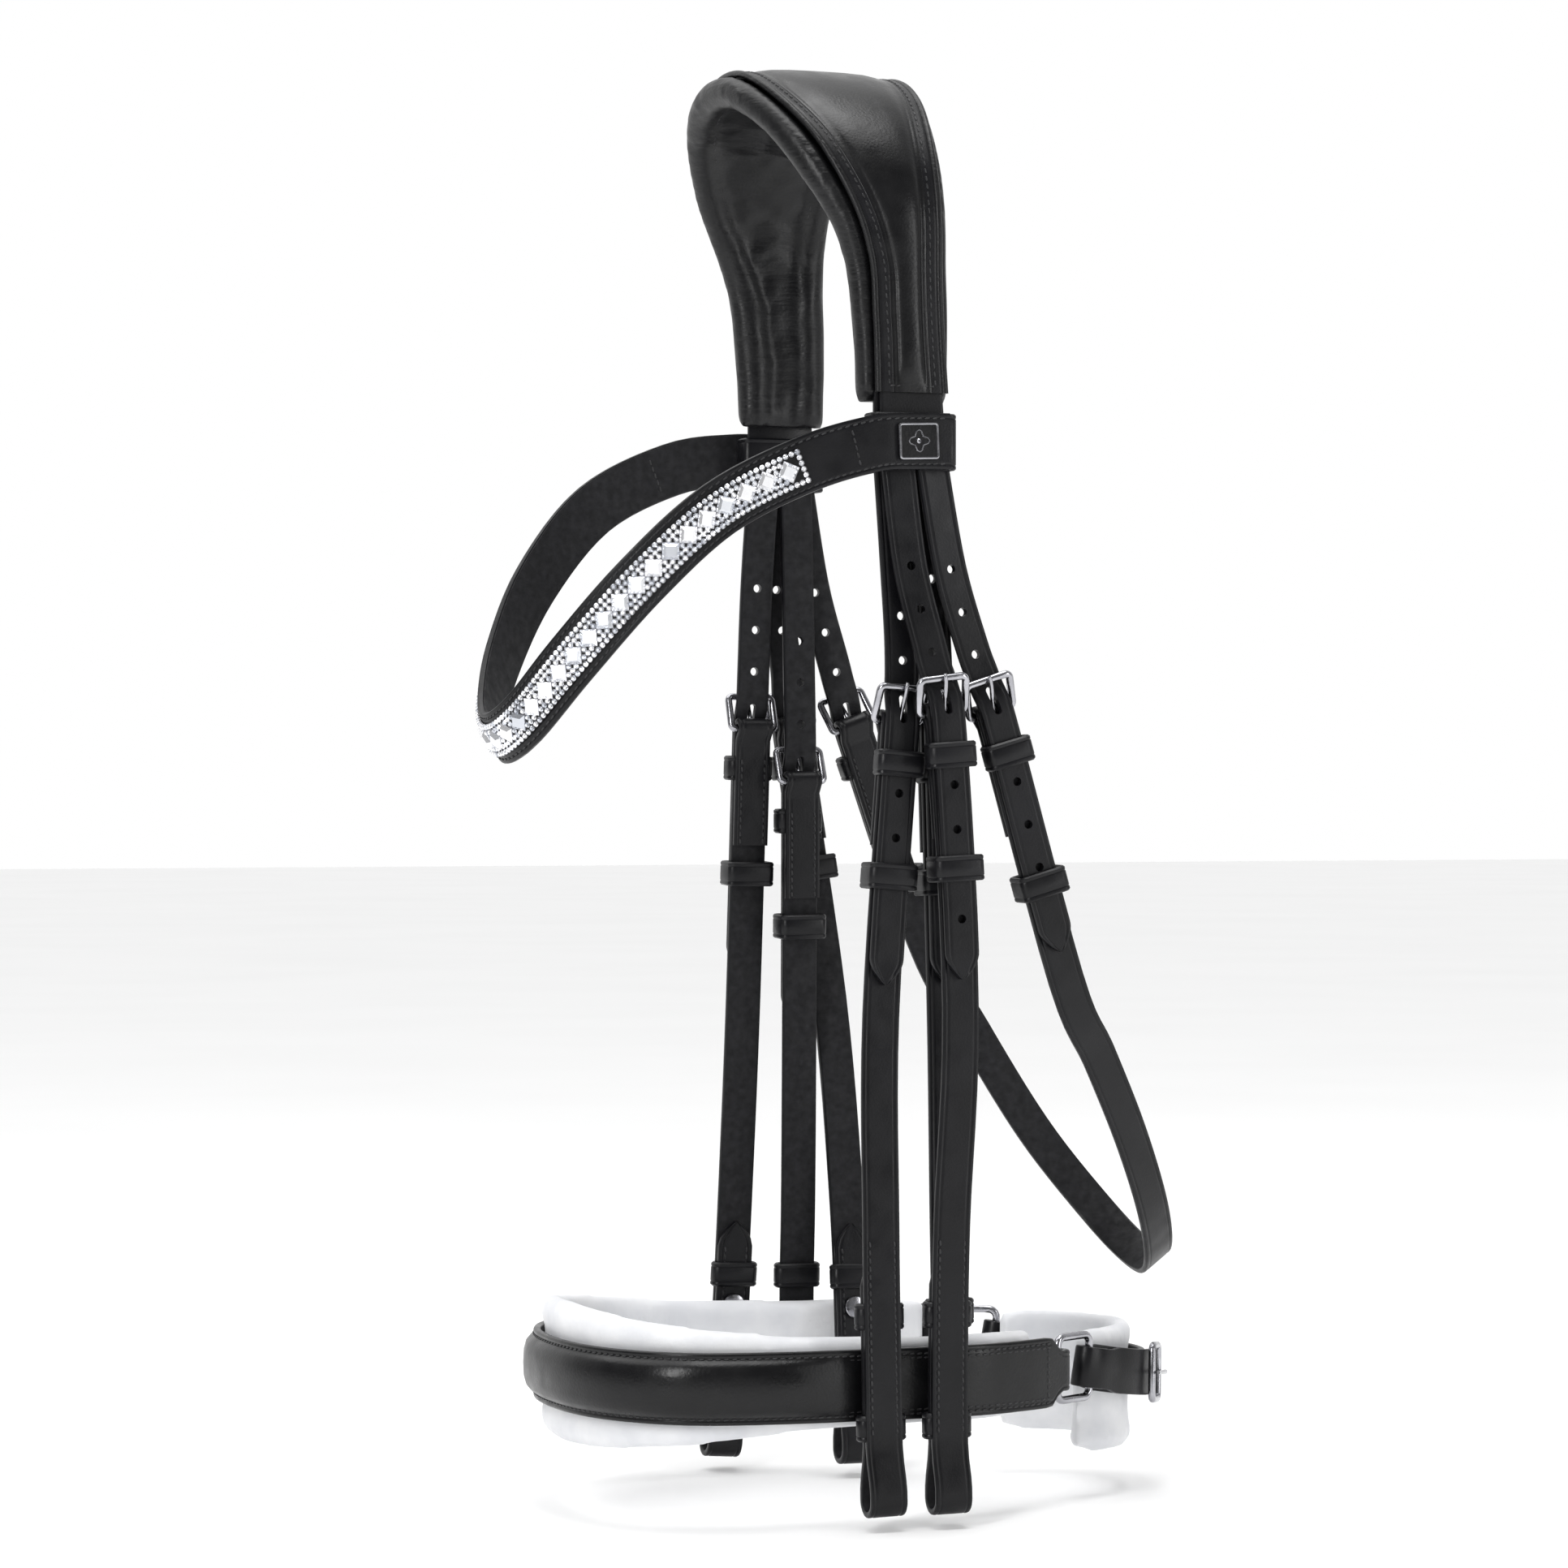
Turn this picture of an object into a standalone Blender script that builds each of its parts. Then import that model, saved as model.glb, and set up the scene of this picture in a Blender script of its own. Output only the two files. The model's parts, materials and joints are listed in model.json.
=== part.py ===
"""Double bridle in black leather, its noseband padded in white, modelled as separate pieces.

World frame: +Z up, +X towards the horse's rear, -Y is the near (left) side of the head.
The origin is the middle of the crown's underside, where it rests on the poll.
Points below are in millimetres, and MM turns them into metres.
"""

import math

import bmesh
import bpy
from mathutils import Matrix, Vector

MM = 0.001
NEAR = -1
FAR = 1

# Driving dimensions, in millimetres
GAP = 0.35
STRAP_WIDTH = 13.0
BILLET_WIDTH = 12.0
BILLET_THICK = 2.4
LEAF_THICK = 2.2
WIRE_RADIUS = 1.3
BUCKLE_HALF_WIDTH = STRAP_WIDTH / 2 + GAP + WIRE_RADIUS
BUCKLE_HALF_LENGTH = 5.7
PRONG_RADIUS = 0.85
KEEPER_HEIGHT = 8.7
KEEPER_WALL = 1.7
KEEPER_GAP = 0.75
BILLET_START = 1.5
HOLES_ABOVE = 3
SEWN_KEEPER_BELOW = 20.0
RUNNER_BELOW = 58.0
THROAT_RUNNER_BELOW = 66.0
BIT_KEEPERS_ABOVE = (24.0, 61.0)
STUD_ABOVE = 50.0
KEEPER_BITE = 0.6
KEEPER_CORNER = 1.4
HOLE_RADIUS = 1.9
HOLE_PITCH = 15.0

# Offsets from a hanging line, along the outward normal
TOP_BAR_OUT = BILLET_THICK / 2 + GAP + WIRE_RADIUS
FOLD_RADIUS = WIRE_RADIUS + GAP + LEAF_THICK / 2
LOW_BAR_OUT = -2.1
LEAF_OUT = LOW_BAR_OUT + FOLD_RADIUS
LEAF_PITCH = LEAF_THICK + GAP
BILLET_OUT = LEAF_OUT + LEAF_THICK / 2 + GAP + BILLET_THICK / 2
TOP_RETURN = 42.0
BIT_RETURN = 80.0
BIT_RADIUS = 4.6
STUD_RADIUS = 4.0
STUD_THICK = 1.4

# Crown: an inverted U over the poll
CROWN_INNER = 52.0
PAD_THICK = 8.0
SLIP_THICK = 2.0
PANEL_THICK = 2.6
TONGUE_END = 123.2
PADDING_END = 104.0
# (front x, rear x) of each layer from the poll (reach 0) down to the tongue's end (reach 2)
PAD_EDGES = [(-29, 40.5), (-25.5, 39.5), (-15, 37.5), (-1, 36.5), (3, 37), (4.5, 36.5), (5, 36)]
SLIP_EDGES = [(0, 22), (2, 24), (6, 28), (9, 31.5), (9.2, 33), (9.2, 33.6), (9.2, 33.8)]
PANEL_EDGES = [(-20, 36.5), (-17.5, 35.5), (-5, 32.5), (7, 31.5), (9.4, 32), (10.2, 33.5),
               (10.6, 35.2)]

# Browband loops and band
LOOP_TOP = -108.0
LOOP_HEIGHT = 19.0
LOOP_WALL = 1.5
LOOP_FRONT_X = 8.2
LOOP_REAR_X = 36.0
LOOP_INNER_OUT = 59.2
LOOP_OUTER_OUT = 66.2
PIVOT_Z = -127.0
NOSE_TILT_X = 32.0
NOSE_TILT_Z = -431.0
BAND_PIVOT = (20.0, 0.0, -117.5)
BAND_THICK = 2.4
EMBLEM_SIZE = (12.5, 1.2, 14.5)
EMBLEM_FROM_END = 12.0

# Noseband
NOSE_STRAP_HEIGHT = 24.0
NOSE_STRAP_THICK = 2.6
NOSE_PAD_THICK = 8.0
RING_HALF_HEIGHT = 10.8
RING_HALF_WIDTH = 8.8
RING_RADIUS = 1.4
RING_FOLD_WIDTH = 14.0
CRANK_WIDTH = 16.0

# Each hanging line: points from the loop down to its end, then distances along it.
# side, points (x, outward, z), buckle height, billet tip height, does it end in a bit loop
LINES = {
    "near_front_cheek": dict(
        side=NEAR, ends_in_bit=True, buckle_z=-206, tip_z=-300,
        points=[(15.4, 61.2, -124), (17.6, 62.0, -160), (19.0, 62.6, -190), (17.6, 63.2, -215),
                (9.6, 66.6, -310), (7.3, 72.5, -380), (6.8, 75.6, -430), (7.5, 76.0, -471)]),
    "near_rear_cheek": dict(
        side=NEAR, ends_in_bit=True, buckle_z=-203, tip_z=-298,
        points=[(16.7, 64.25, -124), (20.6, 66.4, -160), (26.6, 71.0, -190), (30.6, 73.0, -213),
                (35.0, 75.0, -308), (31.0, 77.0, -380), (30.0, 77.5, -430), (30.2, 77.5, -471)]),
    "far_front_cheek": dict(
        side=FAR, ends_in_bit=True, buckle_z=-207, tip_z=-300,
        points=[(15.0, 61.2, -124), (12.8, 62.0, -160), (11.8, 62.6, -190), (11.2, 63.2, -215),
                (9.8, 67.4, -310), (8.8, 73.0, -380), (7.0, 75.6, -430), (3.9, 76.0, -471)]),
    "far_rear_cheek": dict(
        side=FAR, ends_in_bit=True, buckle_z=-206, tip_z=-300,
        points=[(16.7, 64.25, -124), (21.4, 66.4, -160), (27.4, 71.0, -190), (30.4, 72.6, -215),
                (43.0, 67.0, -310), (44.5, 54.0, -380), (43.5, 45.5, -430), (43.0, 42.5, -471)]),
    "near_noseband_hanger": dict(
        side=NEAR, ends_in_bit=False, buckle_z=-208, tip_z=-300,
        points=[(27.8, 61.2, -124), (30.8, 59.0, -160), (33.4, 57.0, -190), (34.4, 56.6, -215),
                (35.6, 60.0, -310), (35.8, 62.0, -380), (35.8, 63.5, -414), (35.8, 63.6, -440)]),
    "far_noseband_hanger": dict(
        side=FAR, ends_in_bit=False, buckle_z=-226, tip_z=-318,
        points=[(27.6, 61.2, -124), (27.4, 59.0, -160), (27.2, 57.0, -190), (27.4, 56.0, -235),
                (28.6, 59.8, -325), (29.0, 62.0, -384), (29.0, 63.5, -414), (29.0, 63.6, -440)]),
}

# Throatlatch: near loop, round behind the jaw, far loop. Points (x, y, z) and outward normals.
THROAT_NEAR = [(29.1, -64.25, -124), (35.4, -65.2, -160), (43.6, -65.6, -187), (51.4, -66.6, -210),
               (77.6, -66.0, -299)]
THROAT_TURN = [(94.0, -57.0, -326), (112.0, -44.0, -355), (128.0, -28.0, -383), (138.5, -8.0, -401),
               (139.5, 12.0, -400), (131.0, 30.0, -385), (114.0, 45.0, -358), (95.0, 57.0, -322)]
THROAT_FAR = [(29.1, 64.25, -124), (35.6, 65.2, -160), (43.4, 65.6, -187), (51.0, 66.6, -210),
              (79.0, 65.0, -289)]
THROAT_NEAR_BUCKLE_Z = -203
THROAT_FAR_BUCKLE_Z = -206
THROAT_TIP_LENGTH = 84.0

# Browband centre line from the near loop to the far loop, (x, y, z)
BROWBAND = [(33.5, -69.6, -117.5), (20.0, -69.6, -117.8), (6.0, -69.6, -119.0), (-18.0, -67.0, -126.5),
            (-46.0, -61.0, -141.5), (-70.0, -52.0, -165.0), (-89.5, -38.0, -191.0),
            (-100.5, -20.0, -210.5), (-104.0, 0.0, -217.0), (-101.0, 18.0, -210.0),
            (-91.5, 36.0, -190.5), (-74.5, 51.0, -162.5), (-49.5, 61.0, -135.0),
            (-18.0, 67.0, -119.5), (6.0, 69.6, -115.5), (20.0, 69.6, -115.5), (33.5, 69.6, -115.5)]
INLAY_FIRST = 3
INLAY_LAST = 13
INLAY_WIDTH = 12.0
INLAY_THICK = 1.6

# Noseband plan line, (x, outward); it droops from the front to the rings
NOSE_PLAN = [(-84.5, 0.0), (-81.5, 26.0), (-71.0, 47.0), (-53.0, 61.5), (-24.0, 67.3), (10.0, 68.0),
             (44.0, 67.0), (66.0, 60.3), (83.5, 51.7)]
PAD_PLAN = [(-78.3, 0.0), (-75.5, 24.0), (-66.0, 42.5), (-49.5, 54.5), (-23.0, 58.0), (10.0, 58.5),
            (42.0, 57.5), (60.0, 52.4), (72.0, 46.6)]
PAD_HEIGHTS = [49.0, 47.0, 43.0, 38.0, 33.0, 31.0, 30.0, 30.0, 29.0]
NOSE_FRONT_Z = -433.0
NOSE_REAR_Z = -434.0
CHIN_PLAN = [(95.5, 31.5), (107.0, 29.0), (119.5, 19.0), (126.5, 0.0)]
CRANK_PLAN = [(96.1, 37.8), (110.0, 36.0), (125.0, 24.0), (133.5, 0.0)]
CHIN_THICK = 7.0
CHIN_HEIGHT = 44.0
CHIN_Z = -444.0
CRANK_FRONT_Z = -434.5
CRANK_REAR_Z = -441.0


def clear_scene():
    for obj in list(bpy.data.objects):
        bpy.data.objects.remove(obj, do_unlink=True)


def new_collection(name, hidden=False):
    collection = bpy.data.collections.new(name)
    bpy.context.scene.collection.children.link(collection)
    collection.hide_render = hidden
    return collection


def make_material(name, colour, roughness, metallic=0.0):
    material = bpy.data.materials.new(name)
    material.use_nodes = True
    shader = material.node_tree.nodes["Principled BSDF"]
    shader.inputs["Base Color"].default_value = (*colour, 1.0)
    shader.inputs["Roughness"].default_value = roughness
    shader.inputs["Metallic"].default_value = metallic
    return material


class Line:
    """A smooth line with a width direction: places a strap's leaves, buckles and keepers along it."""

    STEPS = 6

    def __init__(self, points, outward):
        self.points = []
        self.outward = []
        padded = [points[0], *points, points[-1]]
        normals = [outward[0], *outward, outward[-1]]
        for i in range(len(points) - 1):
            for step in range(self.STEPS):
                t = step / self.STEPS
                self.points.append(catmull(padded[i:i + 4], t))
                self.outward.append(catmull(normals[i:i + 4], t))
        self.points.append(points[-1])
        self.outward.append(outward[-1])
        self.lengths = [0.0]
        for before, after in zip(self.points, self.points[1:]):
            self.lengths.append(self.lengths[-1] + (after - before).length)
        self.length = self.lengths[-1]

    def at_height(self, z):
        """Distance along the line where it first comes down to height z."""
        for i, point in enumerate(self.points[1:], 1):
            if point.z <= z:
                before = self.points[i - 1]
                share = (before.z - z) / (before.z - point.z)
                return self.lengths[i - 1] + share * (self.lengths[i] - self.lengths[i - 1])
        return self.length

    def frame(self, distance, lift=0.0):
        """Point, outward normal and downward tangent at a distance, lifted along the normal."""
        last = len(self.points) - 2
        i = 0
        while i < last and self.lengths[i + 1] < distance:
            i += 1
        span = self.lengths[i + 1] - self.lengths[i]
        share = (distance - self.lengths[i]) / span
        along = self.tangent(i, min(max(share, 0.0), 1.0))
        point = self.points[i].lerp(self.points[i + 1], share)
        normal = self.outward[i].lerp(self.outward[i + 1], min(max(share, 0.0), 1.0))
        normal = (normal - along * normal.dot(along)).normalized()
        return point + normal * lift, normal, along

    def tangent(self, i, share):
        """Direction along the line, blended between its points so that it turns smoothly."""
        def at(k):
            before = self.points[max(k - 1, 0)]
            after = self.points[min(k + 1, len(self.points) - 1)]
            return (after - before).normalized()
        return at(i).lerp(at(i + 1), share).normalized()

    def matrix(self, distance, lift=0.0):
        """Placement in metres: local X across the strap, Y outward, Z back up the strap."""
        point, normal, along = self.frame(distance, lift)
        across = normal.cross(-along)
        turn = Matrix((across, normal, -along)).transposed().to_4x4()
        return Matrix.Translation(point * MM) @ turn


def catmull(four, t):
    a, b, c, d = (Vector(p) for p in four)
    return 0.5 * ((2 * b) + (c - a) * t + (2 * a - 5 * b + 4 * c - d) * t * t
                  + (3 * b - a - 3 * c + d) * t * t * t)


def hanging_line(points, side):
    places = [Vector((x, side * out, z)) for x, out, z in points]
    return Line(places, [Vector((0, side, 0))] * len(places))


def add_object(name, mesh, collection, material=None):
    obj = bpy.data.objects.new(name, mesh)
    collection.objects.link(obj)
    if material:
        mesh.materials.append(material)
    return obj


def sheet_mesh(name, rows):
    """An open sheet through rows of points (in millimetres), made from a grid."""
    across = len(rows[0]) - 1
    along = len(rows) - 1
    bm = bmesh.new()
    bmesh.ops.create_grid(bm, x_segments=along, y_segments=across, size=1)
    for vert in bm.verts:
        row = round((vert.co.x + 1) / 2 * along)
        column = round((vert.co.y + 1) / 2 * across)
        vert.co = rows[row][column] * MM
    mesh = bpy.data.meshes.new(name)
    bm.to_mesh(mesh)
    bm.free()
    mesh.shade_smooth()
    return mesh


def solidify(obj, thickness, offset=0.0):
    modifier = obj.modifiers.new("Thickness", "SOLIDIFY")
    modifier.thickness = thickness * MM
    modifier.offset = offset
    modifier.use_even_offset = True
    return modifier


def boolean(obj, other, operation):
    modifier = obj.modifiers.new(operation.title(), "BOOLEAN")
    modifier.operation = operation
    modifier.solver = "EXACT"
    modifier.object = other


def ribbon(name, line, path, width, thickness, collection, material, tip=False):
    """A strap that follows a path of (distance, lift) pairs along a line. tip rounds its last end."""
    rows = []
    count = len(path)
    for i, (distance, lift, *own_width) in enumerate(path):
        half = (own_width[0] if own_width else width) / 2
        if tip and i == count - 1:
            half *= 0.45
        elif tip and i == count - 2:
            half *= 0.85
        point, normal, along = line.frame(distance, lift)
        across = normal.cross(along)
        rows.append([point - across * half, point + across * half])
    obj = add_object(name, sheet_mesh(name, rows), collection, material)
    solidify(obj, thickness)
    return obj


def steps(start, end, longest):
    """Evenly spaced distances from start to end, no further apart than longest."""
    count = max(1, math.ceil(abs(end - start) / longest))
    return [start + (end - start) * i / count for i in range(count + 1)]


def turn(centre, middle_lift, radius, first, last, count):
    """An arc of (distance, lift) pairs: angle 0 is outward, 90 degrees is back up the strap."""
    pairs = []
    for i in range(count + 1):
        angle = math.radians(first + (last - first) * i / count)
        pairs.append((centre - radius * math.sin(angle), middle_lift + radius * math.cos(angle)))
    return pairs


def folded_path(buckle, end, bit_loop):
    """A cheekpiece: a lapped fold round the buckle's lower bar, then down, then a loop for the bit."""
    bar = buckle + BUCKLE_HALF_LENGTH
    inner = LEAF_OUT - LEAF_PITCH
    path = [(bar + d, inner) for d in steps(TOP_RETURN, 12.0, 16.0)]
    path += turn(bar, LOW_BAR_OUT, FOLD_RADIUS, 180, 0, 6)
    path = path[:-1]
    if not bit_loop:
        return path + [(d, LEAF_OUT) for d in steps(bar, end, 17.0)]
    path += [(d, LEAF_OUT) for d in steps(bar, end - 20.0, 17.0)]
    middle = LEAF_OUT - LEAF_PITCH / 2
    path += [(end - 10.0, middle + BIT_RADIUS * 0.72)]
    path += turn(end, middle, BIT_RADIUS, 0, -180, 8)
    path += [(end - 10.0, middle - BIT_RADIUS * 0.72)]
    path += [(d, inner) for d in steps(end - 20.0, end - BIT_RETURN, 20.0)]
    return path


def billet_path(start, buckle, tip):
    top = buckle - BUCKLE_HALF_LENGTH
    bottom = buckle + BUCKLE_HALF_LENGTH
    path = [(d, 0.0) for d in steps(start, top, 15.0)]
    path += [(d, BILLET_OUT) for d in steps(bottom, tip - 5.0, 26.0)]
    return path + [(tip - 1.8, BILLET_OUT), (tip, BILLET_OUT)]


def band_object(name, half_x, low_y, high_y, height, wall, corner, collection, material=None):
    """A closed leather band round a strap, with chamfered corners, standing along local Z."""
    bm = bmesh.new()
    bmesh.ops.create_cone(bm, segments=8, radius1=1, radius2=1, depth=1, cap_ends=False)
    bmesh.ops.rotate(bm, verts=bm.verts, matrix=Matrix.Rotation(math.radians(22.5), 3, "Z"))
    middle = (low_y + high_y) / 2
    half_y = (high_y - low_y) / 2
    for vert in bm.verts:
        sign_x = math.copysign(1, vert.co.x)
        sign_y = math.copysign(1, vert.co.y)
        on_side = abs(vert.co.x) > abs(vert.co.y)
        x = sign_x * (half_x if on_side else half_x - corner)
        y = sign_y * (half_y - corner if on_side else half_y)
        vert.co = Vector((x, middle + y, math.copysign(height / 2, vert.co.z))) * MM
    mesh = bpy.data.meshes.new(name)
    bm.to_mesh(mesh)
    bm.free()
    obj = add_object(name, mesh, collection, material)
    solidify(obj, wall, offset=1.0)
    return obj


def wire(name, points, radius, cyclic, collection, material):
    """A round wire through points given in millimetres."""
    curve = bpy.data.curves.new(name, "CURVE")
    curve.dimensions = "3D"
    curve.bevel_depth = radius * MM
    curve.bevel_resolution = 2
    curve.use_fill_caps = not cyclic
    spline = curve.splines.new("POLY")
    spline.points.add(len(points) - 1)
    spline.use_cyclic_u = cyclic
    for target, point in zip(spline.points, points):
        target.co = (*(Vector(point) * MM), 1.0)
        target.radius = 1.0
    spline.use_smooth = True
    return add_object(name, curve, collection, material)


def frame_corners(half_x, half_z, corner):
    """A rounded rectangle in local XZ, two points to each corner."""
    return [(half_x, half_z - corner), (half_x - corner, half_z),
            (corner - half_x, half_z), (-half_x, half_z - corner),
            (-half_x, corner - half_z), (corner - half_x, -half_z),
            (half_x - corner, -half_z), (half_x, corner - half_z)]


def hidden_box(name, size, low, places, collection):
    """One mesh of boxes at several placements, for a cutter."""
    bm = bmesh.new()
    for place in places:
        made = bmesh.ops.create_cube(bm, size=1)
        for vert in made["verts"]:
            shape = Vector([low[k] + size[k] * (vert.co[k] + 0.5) for k in range(3)])
            vert.co = place @ (shape * MM)
    mesh = bpy.data.meshes.new(name)
    bm.to_mesh(mesh)
    bm.free()
    obj = add_object(name, mesh, collection)
    hide_cutter(obj)
    return obj


def hidden_pins(name, radius, depth, places, collection):
    """One mesh of short cylinders through a strap's face, for a cutter."""
    bm = bmesh.new()
    for place in places:
        face_on = place @ Matrix.Rotation(math.radians(90), 4, "X")
        bmesh.ops.create_cone(bm, cap_ends=True, segments=8, radius1=radius * MM,
                              radius2=radius * MM, depth=depth * MM, matrix=face_on)
    mesh = bpy.data.meshes.new(name)
    bm.to_mesh(mesh)
    bm.free()
    obj = add_object(name, mesh, collection)
    hide_cutter(obj)
    return obj


def hide_cutter(obj):
    obj.hide_render = True
    obj.display_type = "WIRE"


def add_pivot(name, place, children, parts, parent=None):
    """An empty on a joint's axis, which the moving pieces hang from."""
    empty = bpy.data.objects.new(name, None)
    empty.empty_display_size = 0.01
    parts.objects.link(empty)
    empty.matrix_world = place
    if parent:
        attach(empty, parent)
    for child in children:
        attach(child, empty)
    return empty


def attach(child, parent):
    """Parents a piece and leaves it where it is."""
    bpy.context.view_layer.update()
    child.parent = parent
    child.matrix_parent_inverse = parent.matrix_world.inverted()


def pivot_at(x, y, z):
    return Matrix.Translation(Vector((x, y, z)) * MM)


def add_buckle(prefix, line, buckle, parts, materials):
    """A wire frame, tilted so that its top bar lies over the billet, and its prong on a pivot."""
    rise = TOP_BAR_OUT - LOW_BAR_OUT
    half = math.hypot(2 * BUCKLE_HALF_LENGTH, rise) / 2
    place = line.matrix(buckle)
    corners = []
    for x, z in frame_corners(BUCKLE_HALF_WIDTH + 0.15, half, 1.4):
        share = z / half
        out = (TOP_BAR_OUT + LOW_BAR_OUT) / 2 + share * rise / 2
        corners.append(place @ (Vector((x, out, share * BUCKLE_HALF_LENGTH)) * MM) / MM)
    frame = wire(prefix + "_buckle", corners, WIRE_RADIUS, True, parts, materials["steel"])
    root = LOW_BAR_OUT + WIRE_RADIUS + GAP + PRONG_RADIUS
    tip = TOP_BAR_OUT + WIRE_RADIUS + GAP + PRONG_RADIUS
    slope = (tip - root) / (2 * BUCKLE_HALF_LENGTH)
    points = []
    for z in (-BUCKLE_HALF_LENGTH - 0.6, 0.0, BUCKLE_HALF_LENGTH + 1.4):
        out = root + slope * max(0.0, z + BUCKLE_HALF_LENGTH)
        points.append(place @ (Vector((0, out, z)) * MM) / MM)
    prong = wire(prefix + "_prong", points, PRONG_RADIUS, False, parts, materials["steel"])
    bar = place @ pivot_at(0, LOW_BAR_OUT, -BUCKLE_HALF_LENGTH)
    return frame, add_pivot(prefix + "_prong_pivot", bar, [prong], parts)


def prong_slots(strap, billet, line, buckle, cutters):
    """Room for the prong: a slot through the billet and one through the front of the fold."""
    place = line.matrix(buckle)
    slot = (2 * PRONG_RADIUS + 1.1, 9.0, 9.6)
    low = (-slot[0] / 2, -1.6, -7.8)
    boolean(billet, hidden_box(billet.name + "_slot", slot, low, [place], cutters), "DIFFERENCE")
    fold = (slot[0], 4.0, 8.4)
    fold_low = (-slot[0] / 2, LOW_BAR_OUT + WIRE_RADIUS - 0.4, -BUCKLE_HALF_LENGTH - 3.6)
    boolean(strap, hidden_box(strap.name + "_slot", fold, fold_low, [place], cutters), "DIFFERENCE")


def punch(billet, line, buckle, tip, cutters):
    """Punched holes above and below the buckle, at an even pitch."""
    places = [line.matrix(buckle - HOLE_PITCH * (i + 1)) for i in range(HOLES_ABOVE)]
    below = buckle + 2 * HOLE_PITCH
    while below < tip - 20.0:
        places.append(line.matrix(below, BILLET_OUT))
        below += HOLE_PITCH
    pins = hidden_pins(billet.name + "_holes", HOLE_RADIUS, 8.0, places, cutters)
    boolean(billet, pins, "DIFFERENCE")


def sewn_keeper(strap, line, distance, low_out, high_out, cutters):
    """A fixed keeper whose inner wall is sewn into the strap, so they are one piece."""
    name = strap.name + "_keeper_%d" % round(distance)
    half = STRAP_WIDTH / 2 + GAP
    keeper = band_object(name, half, low_out, high_out, KEEPER_HEIGHT, KEEPER_WALL, KEEPER_CORNER,
                         cutters)
    keeper.matrix_world = line.matrix(distance)
    hide_cutter(keeper)
    boolean(strap, keeper, "UNION")


def runner(name, line, distance, low_out, high_out, parts, material):
    """A loose keeper: its origin sits on the strap's line, so that it slides along it."""
    half = STRAP_WIDTH / 2 + KEEPER_GAP
    keeper = band_object(name, half, low_out - KEEPER_GAP, high_out + KEEPER_GAP, KEEPER_HEIGHT,
                         KEEPER_WALL, KEEPER_CORNER, parts, material)
    place = line.matrix(distance)
    keeper.matrix_world = place
    return add_pivot(name + "_slide", place, [keeper], parts)


def add_hanging_strap(prefix, spec, parts, cutters, materials):
    """One hanging assembly: billet, buckle, prong, strap with its sewn keepers, and runner."""
    line = hanging_line(spec["points"], spec["side"])
    buckle = line.at_height(spec["buckle_z"])
    tip = line.at_height(spec["tip_z"])
    billet = ribbon(prefix + "_billet", line, billet_path(BILLET_START, buckle, tip), BILLET_WIDTH,
                    BILLET_THICK, parts, materials["leather"], tip=True)
    path = folded_path(buckle, line.length, spec["ends_in_bit"])
    strap = ribbon(prefix + "_strap", line, path, STRAP_WIDTH, LEAF_THICK, parts,
                   materials["leather"])
    frame, prong_pivot = add_buckle(prefix, line, buckle, parts, materials)
    prong_slots(strap, billet, line, buckle, cutters)
    punch(billet, line, buckle, tip, cutters)
    outer = BILLET_OUT + BILLET_THICK / 2
    inner = LEAF_OUT - LEAF_PITCH - LEAF_THICK / 2
    bite = LEAF_OUT - LEAF_THICK / 2 + KEEPER_BITE
    sewn_keeper(strap, line, buckle + SEWN_KEEPER_BELOW, bite, outer + KEEPER_GAP, cutters)
    slide = runner(prefix + "_runner", line, buckle + RUNNER_BELOW, inner, outer, parts,
                   materials["leather"])
    moving = [billet, strap, frame, prong_pivot, slide]
    if spec["ends_in_bit"]:
        back = inner + KEEPER_BITE
        front = LEAF_OUT + LEAF_THICK / 2 + GAP
        for above in BIT_KEEPERS_ABOVE:
            sewn_keeper(strap, line, line.length - above, back, front, cutters)
        moving.append(add_hook_stud(prefix, line, inner, parts, materials["steel"]))
    start = line.points[0]
    add_pivot(prefix + "_pivot", pivot_at(start.x, start.y, PIVOT_Z), moving, parts)


def add_hook_stud(prefix, line, inner, parts, material):
    """The stud that hooks the lapped end of a cheekpiece, on its inner face."""
    mesh = bpy.data.meshes.new(prefix + "_hook_stud")
    bm = bmesh.new()
    bmesh.ops.create_cone(bm, cap_ends=True, segments=12, radius1=STUD_RADIUS * MM,
                          radius2=0.7 * STUD_RADIUS * MM, depth=STUD_THICK * MM)
    bm.to_mesh(mesh)
    bm.free()
    stud = add_object(prefix + "_hook_stud", mesh, parts, material)
    lift = inner - GAP - STUD_THICK / 2
    place = line.matrix(line.length - STUD_ABOVE, lift)
    stud.matrix_world = place @ Matrix.Rotation(math.radians(90), 4, "X")
    return stud


def arch_stations(radius, end_z):
    """Points of the crown's inverted U from the near end to the far end, each with its reach.

    Reach is 0 at the poll, 1 where the straight sides begin and 2 at the tongue's end.
    """
    def place(side, reach):
        if reach <= 1:
            angle = reach * math.pi / 2
            return Vector((0, side * radius * math.sin(angle), radius * math.cos(angle) - CROWN_INNER))
        fall = (TONGUE_END - CROWN_INNER) * (reach - 1)
        return Vector((0, side * radius, -CROWN_INNER - fall))
    last = 1 + (-end_z - CROWN_INNER) / (TONGUE_END - CROWN_INNER)
    reaches = [i / 8 for i in range(9)] + [1 + (last - 1) * i / 3 for i in (1, 2, 3)]
    near = [(place(NEAR, reach), reach) for reach in reaches[:0:-1]]
    return near + [(place(FAR, reach), reach) for reach in reaches]


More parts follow.
